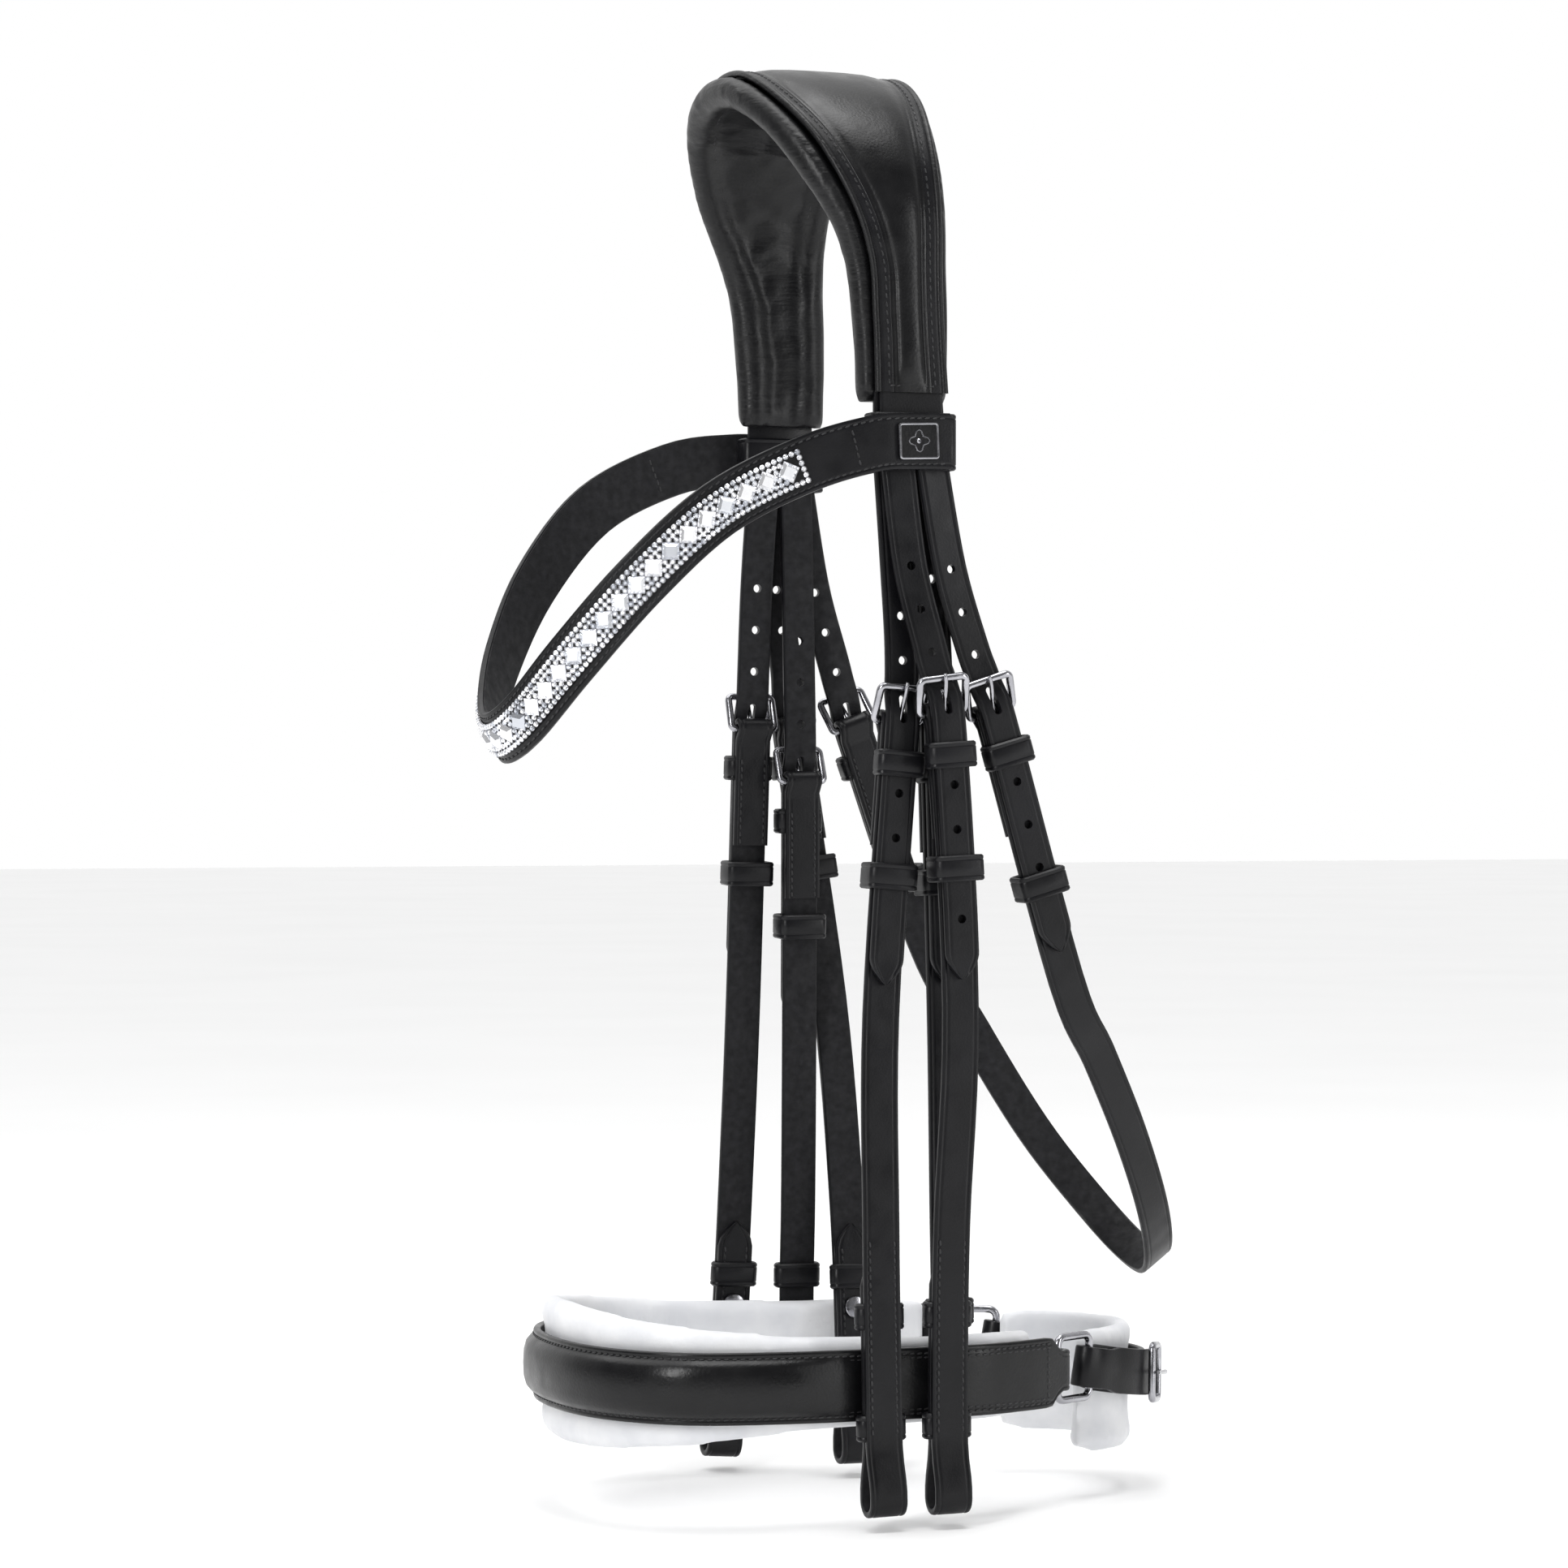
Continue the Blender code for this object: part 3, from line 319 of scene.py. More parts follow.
def add_piece(name, verts, faces, material, body, slot, smooth=40.0):
    """A mesh piece from points in millimetres, riding on a CAD body. smooth is its sharpest soft edge.

    material may be a pair: the leather's grain side, then its flesh side.
    """
    mesh = bpy.data.meshes.new(name)
    mesh.from_pydata((np.asarray(verts, float) * MM).tolist(), [], faces)
    bm = bmesh.new()
    bm.from_mesh(mesh)
    bmesh.ops.recalc_face_normals(bm, faces=bm.faces)
    bm.to_mesh(mesh)
    bm.free()
    mesh.shade_smooth()
    mesh.set_sharp_from_angle(angle=math.radians(smooth))
    if isinstance(material, tuple):
        show_flesh_side(mesh, material)
    else:
        mesh.materials.append(material)
    obj = bpy.data.objects.new(name, mesh)
    bpy.context.scene.collection.objects.link(obj)
    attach(obj, body)
    return obj


def show_flesh_side(mesh, materials):
    """Gives the two bottom facets of a strap's section the flesh side's material."""
    for material in materials:
        mesh.materials.append(material)
    for polygon in mesh.polygons:
        if polygon.index % SECTION_POINTS in FLESH_FACETS and len(polygon.vertices) == 4:
            polygon.material_index = 1


def skin(rings, cyclic=False):
    """Points and faces of a tube through rings of points, with closed ends unless it is cyclic."""
    count = len(rings[0])
    faces = []
    for i in range(len(rings) if cyclic else len(rings) - 1):
        a = i * count
        b = ((i + 1) % len(rings)) * count
        for k in range(count):
            n = (k + 1) % count
            faces.append((a + k, a + n, b + n, b + k))
    if not cyclic:
        faces.append(tuple(range(count)))
        faces.append(tuple(range((len(rings) - 1) * count, len(rings) * count)))
    return np.concatenate(rings), faces


def joined(parts):
    """Several (points, faces) shapes as one."""
    verts = []
    faces = []
    start = 0
    for points, own_faces in parts:
        verts.append(points)
        faces += [tuple(start + k for k in face) for face in own_faces]
        start += len(points)
    return np.concatenate(verts), faces


def tube(points, radius, up, cyclic=False, sides=12):
    """A round wire through points. up is a direction that its line never runs along."""
    points = np.asarray(points, float)
    if cyclic:
        tangents = unit(np.roll(points, -1, axis=0) - np.roll(points, 1, axis=0))
    else:
        tangents = unit(np.gradient(points, axis=0))
    side = unit(np.cross(tangents, up))
    top = np.cross(side, tangents)
    radii = np.broadcast_to(radius, len(points))
    rings = []
    for i, point in enumerate(points):
        angles = np.arange(sides) * 2 * math.pi / sides
        rings.append(point + radii[i] * (np.outer(np.cos(angles), side[i])
                                         + np.outer(np.sin(angles), top[i])))
    return skin(rings, cyclic)


SECTION_POINTS = 26
FLESH_FACETS = (12, 13)


def strap_profile(width, thick, crease=0.22, bulge=0.0):
    """A strap's section as (across, outward) points: rounded edges, a crease inside each edge."""
    half = width / 2
    top = thick / 2
    edge = 0.28 * thick
    inset = min(1.7, 0.4 * half)
    shoulder = half - inset - 0.5
    right = [(shoulder * 0.45, top + bulge * 0.94), (shoulder * 0.75, top + bulge * 0.72),
             (shoulder * 0.92, top + bulge * 0.32), (shoulder, top), (half - inset, top - crease),
             (half - inset * 0.75, top), (half - edge, top), (half - 0.3 * edge, top - 0.3 * edge),
             (half, top - edge), (half, edge - top), (half - 0.3 * edge, 0.3 * edge - top),
             (half - edge, -top)]
    left = [(-x, y) for x, y in reversed(right)]
    return np.array([(0.0, top + bulge)] + right + [(0.0, -top)] + left)


def strap(leaf, width, thick, crease=0.22, bulge=None):
    """A leather strap along a leaf. width and bulge may be functions of the distance along it."""
    rings = []
    for i, s in enumerate(leaf.lengths):
        own_width = width(s) if callable(width) else width
        raised = bulge(s) if bulge else 0.0
        section = strap_profile(own_width, thick, crease, raised)
        rings.append(leaf.points[i] + np.outer(section[:, 0], leaf.across[i])
                     + np.outer(section[:, 1], leaf.normals[i]))
    return skin(rings)


def pointed(width, length, tip_length=9.0):
    """A width that narrows to a soft point over tip_length at the end of a strap."""
    def at(s):
        share = min(max((length - s) / tip_length, 0.0), 1.0)
        return width * (0.12 + 0.88 * (1 - (1 - share) ** 1.9))
    return at


def rounded_loop(half_x, low, high, radius, count=5):
    """A rounded rectangle as (x, y, normal x, normal y) points."""
    centres = [(half_x - radius, high - radius, 0), (radius - half_x, high - radius, 90),
               (radius - half_x, low + radius, 180), (half_x - radius, low + radius, 270)]
    points = []
    for x, y, first in centres:
        for i in range(count + 1):
            angle = math.radians(first + 90 * i / count)
            c, s = math.cos(angle), math.sin(angle)
            points.append((x + radius * c, y + radius * s, c, s))
    return points


def leather_band(place, half_x, low, high, height, wall, radius=0.9):
    """A leather keeper round a strap. half_x, low and high are its inner faces."""
    half = height / 2
    edge = 0.35 * wall
    inset = 1.3
    section = [(0.0, edge - half), (edge, -half), (wall - edge, -half), (wall, edge - half),
               (wall, -half + inset), (wall - 0.2, -half + inset + 0.35), (wall, -half + inset + 0.7),
               (wall, half - inset - 0.7), (wall - 0.2, half - inset - 0.35), (wall, half - inset),
               (wall, half - edge), (wall - edge, half), (edge, half), (0.0, half - edge)]
    rings = []
    for x, y, nx, ny in rounded_loop(half_x, low, high, radius):
        rings.append(placed(place, [(x + nx * a, y + ny * a, z) for a, z in section]))
    return skin(rings, cyclic=True)


# One stitch: a short spindle of thread, lying along local Z
STITCH_SIDES = 6


def stitch_shape(length, radius):
    points = [(0, 0, -length / 2)]
    for z in (-length * 0.32, length * 0.32):
        for k in range(STITCH_SIDES):
            angle = 2 * math.pi * k / STITCH_SIDES
            points.append((radius * math.cos(angle), radius * math.sin(angle), z))
    points.append((0, 0, length / 2))
    faces = []
    last = len(points) - 1
    for k in range(STITCH_SIDES):
        n = (k + 1) % STITCH_SIDES
        faces.append((0, 1 + n, 1 + k))
        faces.append((1 + k, 1 + n, 1 + STITCH_SIDES + n, 1 + STITCH_SIDES + k))
        faces.append((last, 1 + STITCH_SIDES + k, 1 + STITCH_SIDES + n))
    return np.array(points), faces


STITCH_PITCH = 2.7
STITCH_LENGTH = 2.0
STITCH_RADIUS = 0.36
ONE_STITCH = stitch_shape(STITCH_LENGTH, STITCH_RADIUS)


def stitch_at(point, across, normal, slant=0.12):
    """A stitch half sunk at a point, its length along across x normal, a little slanted."""
    along = np.cross(across, normal)
    along = unit(along + across * slant)
    side = np.cross(normal, along)
    place = np.eye(4)
    place[:3, 0] = side
    place[:3, 1] = normal
    place[:3, 2] = along
    place[:3, 3] = point
    return placed(place, ONE_STITCH[0]), ONE_STITCH[1]


def stitch_row(leaf, first, last, x, lift, pitch=STITCH_PITCH):
    """Stitches along a leaf from first to last, x across it, on the face at that lift."""
    row = []
    for s in steps(first, last, pitch):
        across, normal, _ = leaf.directions(s)
        row.append(stitch_at(leaf.at(s, x, lift), across, normal))
    return row


# Materials

class Finish:
    """Builds a procedural node material. Coordinates are the object's own, so they move with it."""

    def __init__(self, name):
        self.material = bpy.data.materials.new(name)
        self.material.use_nodes = True
        self.tree = self.material.node_tree
        self.shader = self.tree.nodes["Principled BSDF"]
        self.place = self.tree.nodes.new("ShaderNodeTexCoord").outputs["Object"]

    def node(self, kind, **values):
        node = self.tree.nodes.new(kind)
        for key, value in values.items():
            if key in node.inputs:
                node.inputs[key].default_value = value
            else:
                setattr(node, key, value)
        return node

    def link(self, source, target):
        self.tree.links.new(source, target)

    def noise(self, scale, detail=3.0, stretch=None):
        node = self.node("ShaderNodeTexNoise", Scale=scale, Detail=detail)
        place = self.place
        if stretch:
            mapping = self.node("ShaderNodeMapping", Scale=stretch)
            self.link(place, mapping.inputs["Vector"])
            place = mapping.outputs["Vector"]
        self.link(place, node.inputs["Vector"])
        return node.outputs["Fac"]

    def cells(self, scale):
        node = self.node("ShaderNodeTexVoronoi", Scale=scale, feature="SMOOTH_F1")
        self.link(self.place, node.inputs["Vector"])
        return node.outputs["Distance"]

    def ramp(self, factor, *stops):
        node = self.node("ShaderNodeValToRGB")
        elements = node.color_ramp.elements
        while len(elements) < len(stops):
            elements.new(0.5)
        for element, (position, colour) in zip(elements, stops):
            element.position = position
            element.color = (*colour, 1.0)
        self.link(factor, node.inputs["Fac"])
        return node.outputs["Color"]

    def spread(self, factor, low, high):
        """factor (0 to 1) turned into a value from low to high."""
        node = self.node("ShaderNodeMapRange")
        node.inputs["From Min"].default_value = 0.3
        node.inputs["From Max"].default_value = 0.7
        node.inputs["To Min"].default_value = low
        node.inputs["To Max"].default_value = high
        self.link(factor, node.inputs["Value"])
        return node.outputs["Result"]

    def bump(self, height, strength, distance, below=None):
        node = self.node("ShaderNodeBump", Strength=strength, Distance=distance)
        self.link(height, node.inputs["Height"])
        if below:
            self.link(below, node.inputs["Normal"])
        return node.outputs["Normal"]

    def finish(self, colour, roughness, normal=None, **fixed):
        self.link(colour, self.shader.inputs["Base Color"])
        self.link(roughness, self.shader.inputs["Roughness"])
        if normal:
            self.link(normal, self.shader.inputs["Normal"])
        for name, value in fixed.items():
            self.shader.inputs[name.replace("_", " ")].default_value = value
        return self.material


def leather_finish(name, dark, light, low_rough, high_rough, grain=1500.0, depth=0.12, creases=0.25,
                   shine=0.32, folds=0.0):
    """Dressed leather: a little darker and lighter in places, fine grain over soft creases."""
    build = Finish(name)
    colour = build.ramp(build.noise(38.0), (0.32, dark), (0.68, light))
    roughness = build.spread(build.noise(120.0), low_rough, high_rough)
    soft = build.bump(build.noise(55.0, 2.0), creases, 0.0012)
    if folds:
        soft = build.bump(build.noise(170.0, 3.0, (0.5, 0.5, 3.0)), folds, 0.001, soft)
    fine = build.bump(build.cells(grain), depth, 0.00025, soft)
    return build.finish(colour, roughness, fine, Specular_IOR_Level=shine)


def flesh_finish():
    """The rough inner side of a strap: matt, with hair-like ribs across it."""
    build = Finish("flesh_side_leather")
    colour = build.ramp(build.noise(420.0, 4.0), (0.35, (0.005, 0.005, 0.006)),
                        (0.7, (0.012, 0.012, 0.014)))
    roughness = build.spread(build.noise(300.0), 0.62, 0.85)
    ribs = build.bump(build.noise(330.0, 3.0, (0.6, 0.6, 2.6)), 0.3, 0.0004)
    return build.finish(colour, roughness, ribs, Specular_IOR_Level=0.3)


def padding_finish():
    """Soft white leather with fine pores and small wrinkles."""
    build = Finish("soft_white_leather")
    colour = build.ramp(build.noise(60.0), (0.3, (0.66, 0.67, 0.70)), (0.65, (0.78, 0.785, 0.80)))
    roughness = build.spread(build.noise(150.0), 0.46, 0.62)
    wrinkles = build.bump(build.noise(160.0, 4.0, (1.0, 1.0, 0.35)), 0.35, 0.0009)
    pores = build.bump(build.cells(1100.0), 0.12, 0.0003, wrinkles)
    return build.finish(colour, roughness, pores, Sheen_Weight=0.15)


def steel_finish():
    """Polished steel with faint scratches and dulled places."""
    build = Finish("polished_steel")
    colour = build.ramp(build.noise(90.0), (0.3, (0.30, 0.30, 0.32)), (0.7, (0.48, 0.48, 0.51)))
    roughness = build.spread(build.noise(500.0), 0.14, 0.28)
    scratches = build.bump(build.noise(900.0, 4.0, (1.0, 3.0, 0.4)), 0.06, 0.0002)
    return build.finish(colour, roughness, scratches, Metallic=1.0)


def crystal_finish():
    """Clear foiled crystal: every stone takes its own brightness and tint."""
    build = Finish("foiled_crystal")
    island = build.node("ShaderNodeNewGeometry").outputs["Random Per Island"]
    colour = build.ramp(island, (0.0, (0.48, 0.50, 0.55)), (0.4, (0.84, 0.86, 0.90)),
                        (0.75, (0.98, 0.98, 1.0)))
    roughness = build.spread(build.noise(700.0), 0.05, 0.14)
    return build.finish(colour, roughness, None, Metallic=0.75, Coat_Weight=0.6)


def thread_finish():
    """Waxed black thread with a twist."""
    build = Finish("waxed_thread")
    colour = build.ramp(build.noise(800.0), (0.3, (0.007, 0.007, 0.008)), (0.7, (0.022, 0.022, 0.024)))
    roughness = build.spread(build.noise(900.0), 0.4, 0.6)
    twist = build.bump(build.noise(2600.0), 0.3, 0.0003)
    return build.finish(colour, roughness, twist)


def floor_finish():
    build = Finish("studio_floor")
    colour = build.ramp(build.noise(3.0), (0.3, (0.93, 0.93, 0.93)), (0.7, (0.95, 0.95, 0.95)))
    roughness = build.spread(build.noise(8.0), 0.8, 0.9)
    return build.finish(colour, roughness, None, Specular_IOR_Level=0.1)


STRAP_LEATHER = leather_finish("strap_leather", (0.0028, 0.0028, 0.0036),
                               (0.006, 0.006, 0.0075), 0.30, 0.46, shine=0.26)
PANEL_LEATHER = leather_finish("panel_leather", (0.002, 0.002, 0.0024), (0.0042, 0.0042, 0.005), 0.26, 0.38,
                               1100.0, 0.16, 0.2)
SOFT_LEATHER = leather_finish("soft_black_leather", (0.0026, 0.0026, 0.0031),
                              (0.0052, 0.0052, 0.006), 0.32, 0.48, 900.0, 0.22, 0.5, folds=0.35)
FLESH_LEATHER = flesh_finish()
STRAP_SIDES = (STRAP_LEATHER, FLESH_LEATHER)
WHITE_LEATHER = padding_finish()
STEEL = steel_finish()
CRYSTAL = crystal_finish()
THREAD = thread_finish()
FLOOR = floor_finish()


# Straps, buckles and keepers

def hanging_line(spec):
    places = [(x, spec["side"] * out, z) for x, out, z in spec["points"]]
    return Line(places, [(0, spec["side"], 0)] * len(places))


def arc(centre, middle_lift, radius, first, last, count=16):
    """An arc of (distance, lift): angle 0 is outward, 90 degrees is back up the strap."""
    pairs = []
    for angle in np.radians(np.linspace(first, last, count + 1)):
        pairs.append((centre - radius * math.sin(angle), middle_lift + radius * math.cos(angle)))
    return pairs


def run(first, last, lift, longest=3.0):
    return [(d, lift) for d in steps(first, last, longest)]


def folded_path(buckle, end, bit_loop):
    """A cheekpiece: a lapped fold round the buckle's lower bar, down, and a loop for the bit."""
    bar = buckle + BAR_REACH
    path = run(bar + TOP_RETURN, bar + 4.0, INNER_LIFT)
    path += arc(bar, LOW_BAR, FOLD_RADIUS, 180, 0)
    if not bit_loop:
        return path + run(bar + 1.5, end, LEAF_LIFT)
    path += run(bar + 1.5, end - 18.0, LEAF_LIFT)
    middle = LEAF_LIFT - LEAF_PITCH / 2
    for share in (0.35, 0.7, 0.92):
        path.append((end - 18.0 + 16.0 * share, middle + eased(share)))
    path += arc(end, middle, BIT_RADIUS, 0, -180)
    for share in (0.92, 0.7, 0.35):
        path.append((end - 18.0 + 16.0 * share, middle - eased(share)))
    return path + run(end - 18.0, end - BIT_RETURN, INNER_LIFT)


def eased(share):
    """Half the bit loop's opening, from the sewn leaves (share 0) to the round end (share 1)."""
    return LEAF_PITCH / 2 + (BIT_RADIUS - LEAF_PITCH / 2) * smoothstep(0.0, 1.0, share)


def billet_path(buckle, tip):
    """Behind the buckle's top bar, then out over its lower bar and down to the tip."""
    path = run(BILLET_START, buckle - BAR_REACH - 1.0, 0.0)
    for share in (0.2, 0.4, 0.6, 0.8):
        path.append((buckle - BAR_REACH + 2 * BAR_REACH * share,
                     BILLET_LIFT * smoothstep(0.0, 1.0, share)))
    return path + run(buckle + BAR_REACH + 0.5, tip - 9.0, BILLET_LIFT) + run(
        tip - 9.0, tip, BILLET_LIFT, 0.9)[1:]


def cut(obj, shapes):
    """Takes shapes (points and faces in millimetres) out of a piece."""
    points, faces = joined(shapes)
    mesh = bpy.data.meshes.new("cutter")
    mesh.from_pydata((points * MM).tolist(), [], faces)
    cutter = bpy.data.objects.new("cutter", mesh)
    bpy.context.scene.collection.objects.link(cutter)
    modifier = obj.modifiers.new("Cut", "BOOLEAN")
    modifier.operation = "DIFFERENCE"
    modifier.solver = "EXACT"
    modifier.object = cutter
    bpy.context.view_layer.update()
    made = bpy.data.meshes.new_from_object(obj.evaluated_get(bpy.context.evaluated_depsgraph_get()))
    obj.modifiers.remove(modifier)
    obj.data = made
    obj.data.set_sharp_from_angle(angle=math.radians(40))
    bpy.data.objects.remove(cutter)


def pin(place, radius, depth, sides=18, length=0.0):
    """A straight cutter along local Y, round or drawn out by length along local Z."""
    ends = []
    for y in (-depth / 2, depth / 2):
        ring = []
        for k in range(sides):
            angle = 2 * math.pi * (k + 0.5) / sides
            z = radius * math.sin(angle)
            ring.append((radius * math.cos(angle), y, z + math.copysign(length / 2, z)))
        ends.append(placed(place, ring))
    points, faces = skin(ends)
    return points, [face[::-1] for face in faces]


def buckle_frame(line, buckle):
    """The wire frame, tilted so that its top bar lies over the billet."""
    rise = TOP_BAR - LOW_BAR
    half = math.hypot(2 * BAR_REACH, rise) / 2
    half_x = STRAP_WIDTH / 2 + GAP + WIRE_RADIUS + 0.15
    place = line.matrix(buckle)
    loop = []
    for x, z, _, _ in rounded_loop(half_x, -half, half, 1.7):
        share = z / half
        loop.append((x, (TOP_BAR + LOW_BAR) / 2 + share * rise / 2, share * BAR_REACH))
    face = place[:3, :3] @ np.array((0.0, 2 * BAR_REACH, -rise))
    return tube(placed(place, loop), WIRE_RADIUS, face, cyclic=True, sides=14)


def buckle_prong(line, buckle):
    """A tapering prong with an eye round the lower bar, its tip resting on the top bar."""
    place = line.matrix(buckle)
    root = LOW_BAR + WIRE_RADIUS + GAP + PRONG_RADIUS
    tip = TOP_BAR + WIRE_RADIUS + GAP + PRONG_RADIUS
    ends = [(-BAR_REACH - 0.6, root), (-BAR_REACH * 0.4, root + 1.2), (BAR_REACH * 0.55, tip - 0.9),
            (BAR_REACH, tip), (BAR_REACH + 1.5, tip - 0.15)]
    points = catmull([(0.0, y, z) for z, y in ends], 5)
    radii = np.linspace(PRONG_RADIUS, PRONG_RADIUS * 0.72, len(points))
    radii[0] *= 0.5
    radii[-1] *= 0.45
    across = place[:3, 0]
    shaft = tube(placed(place, points), radii, across, sides=12)
    eye = []
    for angle in np.linspace(0, 2 * math.pi, 20, endpoint=False):
        reach = WIRE_RADIUS + 0.62
        eye.append((0.0, LOW_BAR + reach * math.cos(angle), -BAR_REACH + reach * math.sin(angle)))
    return joined([shaft, tube(placed(place, eye), 0.55, across, cyclic=True, sides=8)])


def add_billet(prefix, line, buckle, tip, body):
    leaf = Leaf.along(line, billet_path(buckle, tip))
    points, faces = strap(leaf, pointed(BILLET_WIDTH, leaf.length), BILLET_THICK)
    billet = add_piece(prefix + "_billet_leather", points, faces, STRAP_SIDES, body, "black_leather")
    holes = [line.matrix(buckle - HOLE_PITCH * (i + 1)) for i in range(HOLES_ABOVE)]
    below = buckle + 2 * HOLE_PITCH
    while below < tip - 20.0:
        holes.append(line.matrix(below, BILLET_LIFT))
        below += HOLE_PITCH
    shapes = [pin(place, HOLE_SHOWN, 8.0) for place in holes]
    shapes.append(pin(line.matrix(buckle + 1.6, 1.6), PRONG_RADIUS + 0.5, 9.0, length=7.0))
    cut(billet, shapes)
    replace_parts(billet, prefix + "_billet")


def add_fittings(prefix, line, buckle, body, runner_at):
    """Buckle, prong and runner of one strap."""
    frame_shape = buckle_frame(line, buckle)
    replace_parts(add_piece(prefix + "_buckle_wire", *frame_shape, STEEL, body, "polished_steel"),
                prefix + "_buckle")
    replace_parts(add_piece(prefix + "_prong_wire", *buckle_prong(line, buckle), STEEL, prefix + "_prong",
                          "polished_steel"), prefix + "_prong")
    low = INNER_LIFT - LEAF_THICK / 2 - KEEPER_GAP
    high = BILLET_LIFT + BILLET_THICK / 2 + KEEPER_GAP
    shape = leather_band(line.matrix(buckle + runner_at), STRAP_WIDTH / 2 + KEEPER_GAP, low, high,
                         KEEPER_HEIGHT, RUNNER_WALL)
    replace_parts(add_piece(prefix + "_runner_band", *shape, STRAP_LEATHER, prefix + "_runner",
                          "black_leather"), prefix + "_runner")


def slot_shape(line, buckle):
    """Room in the fold for the prong."""
    return pin(line.matrix(buckle + BAR_REACH - 0.6, LOW_BAR + WIRE_RADIUS + 1.7),
               PRONG_RADIUS + 0.5, 4.4, length=4.5)


def fixed_keeper(line, distance, low, high):
    return leather_band(line.matrix(distance), STRAP_WIDTH / 2 + GAP, low, high, KEEPER_HEIGHT,
                        KEEPER_WALL)


def border_stitches(leaf, first, last, width, inset=2.1, lift=LEAF_THICK / 2):
    """Two stitch rows along a leaf, inset from its edges."""
    x = width / 2 - inset
    return stitch_row(leaf, first, last, x, lift) + stitch_row(leaf, first, last, -x, lift)


def cross_stitches(leaf, s, width, inset=2.1, lift=LEAF_THICK / 2):
    """A short stitch row across a leaf."""
    reach = width / 2 - inset
    row = []
    _, normal, along = leaf.directions(s)
    for x in steps(-reach, reach, STITCH_PITCH)[1:-1]:
        row.append(stitch_at(leaf.at(s, x, lift), along, normal))
    return row


def add_hanging_strap(prefix, spec):
    line = hanging_line(spec)
    body = prefix if prefix in frame["bodies"] else "crown"
    buckle = line.at_height(spec["buckle_z"])
    tip = line.at_height(spec["tip_z"])
    add_billet(prefix, line, buckle, tip, body)
    add_fittings(prefix, line, buckle, body, RUNNER_BELOW_BUCKLE)
    leaf = Leaf.along(line, folded_path(buckle, line.length, spec["bit"]))
    length = leaf.length
    shape = strap(leaf, pointed(STRAP_WIDTH, length) if spec["bit"] else STRAP_WIDTH, LEAF_THICK)
    outer = BILLET_LIFT + BILLET_THICK / 2
    keepers = [(buckle + KEEPER_BELOW_BUCKLE, LEAF_LIFT - LEAF_THICK / 2 + 0.6, outer + KEEPER_GAP)]
    stitches = border_stitches(leaf, 1.5, TOP_RETURN - 12.0, STRAP_WIDTH)
    front = math.pi * FOLD_RADIUS + TOP_RETURN
    stitches += border_stitches(leaf, front + 6.0, front + TOP_RETURN - 4.0, STRAP_WIDTH)
    stitches += cross_stitches(leaf, front + TOP_RETURN - 4.0, STRAP_WIDTH)
    if spec["bit"]:
        back = INNER_LIFT - LEAF_THICK / 2 - GAP
        for above in (24.0, 61.0):
            keepers.append((line.length - above, back, LEAF_LIFT - LEAF_THICK / 2 - 0.1))
        loop_start = front + line.length - buckle - BAR_REACH - 22.0
        stitches += border_stitches(leaf, loop_start - 62.0, loop_start, STRAP_WIDTH)
        stitches += border_stitches(leaf, length - 60.0, length - 10.0, STRAP_WIDTH, 2.4)
    else:
        keepers.append((line.at_height(HANGER_BAND_Z), LEAF_LIFT - LEAF_THICK / 2 - GAP,
                        LEAF_LIFT + LEAF_THICK / 2 + GAP))
    points, faces = shape
    leather = add_piece(prefix + "_strap_leather", points, faces, STRAP_SIDES, body, "black_leather")
    cut(leather, [slot_shape(line, buckle)])
    bands = joined([fixed_keeper(line, *keeper) for keeper in keepers])
    add_piece(prefix + "_sewn_keepers", *bands, STRAP_LEATHER, body, "black_leather")
    add_piece(prefix + "_strap_stitches", *joined(stitches), THREAD, body, "black_leather")
    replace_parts(leather, prefix + "_strap")
    if spec["bit"]:
        add_hook_stud(prefix, line, body)


STUD_PROFILE = [(0.0, -0.7), (2.2, -0.7), (3.4, -0.5), (4.0, 0.1), (3.7, 0.5), (2.6, 0.75), (0.9, 0.9)]


def turned(place, profile, sides=24):
    """A lathe shape about local Y from (radius, height) pairs."""
    rings = []
    for radius, height in profile[1:]:
        ring = []
        for k in range(sides):
            angle = 2 * math.pi * k / sides
            ring.append((radius * math.cos(angle), height, radius * math.sin(angle)))
        rings.append(placed(place, ring))
    return skin(rings)


def add_hook_stud(prefix, line, body):
    """The stud that hooks the lapped end, on the strap's inner face."""
    lift = INNER_LIFT - LEAF_THICK / 2 - GAP - 0.7
    place = line.matrix(line.length - STUD_ABOVE, lift)
    place[:3, 1] *= -1
    stud = add_piece(prefix + "_hook_stud_head", *turned(place, STUD_PROFILE), STEEL, body,
                     "polished_steel")
    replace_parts(stud, prefix + "_hook_stud")


def throat_normal(point):
    side = max(-1.0, min(1.0, point[1] / 66.0))
    below = math.sqrt(1 - side * side)
    return (0.6 * below, side, -0.8 * below)


def throat_line(route):
    return Line(route, [throat_normal(p) for p in route])


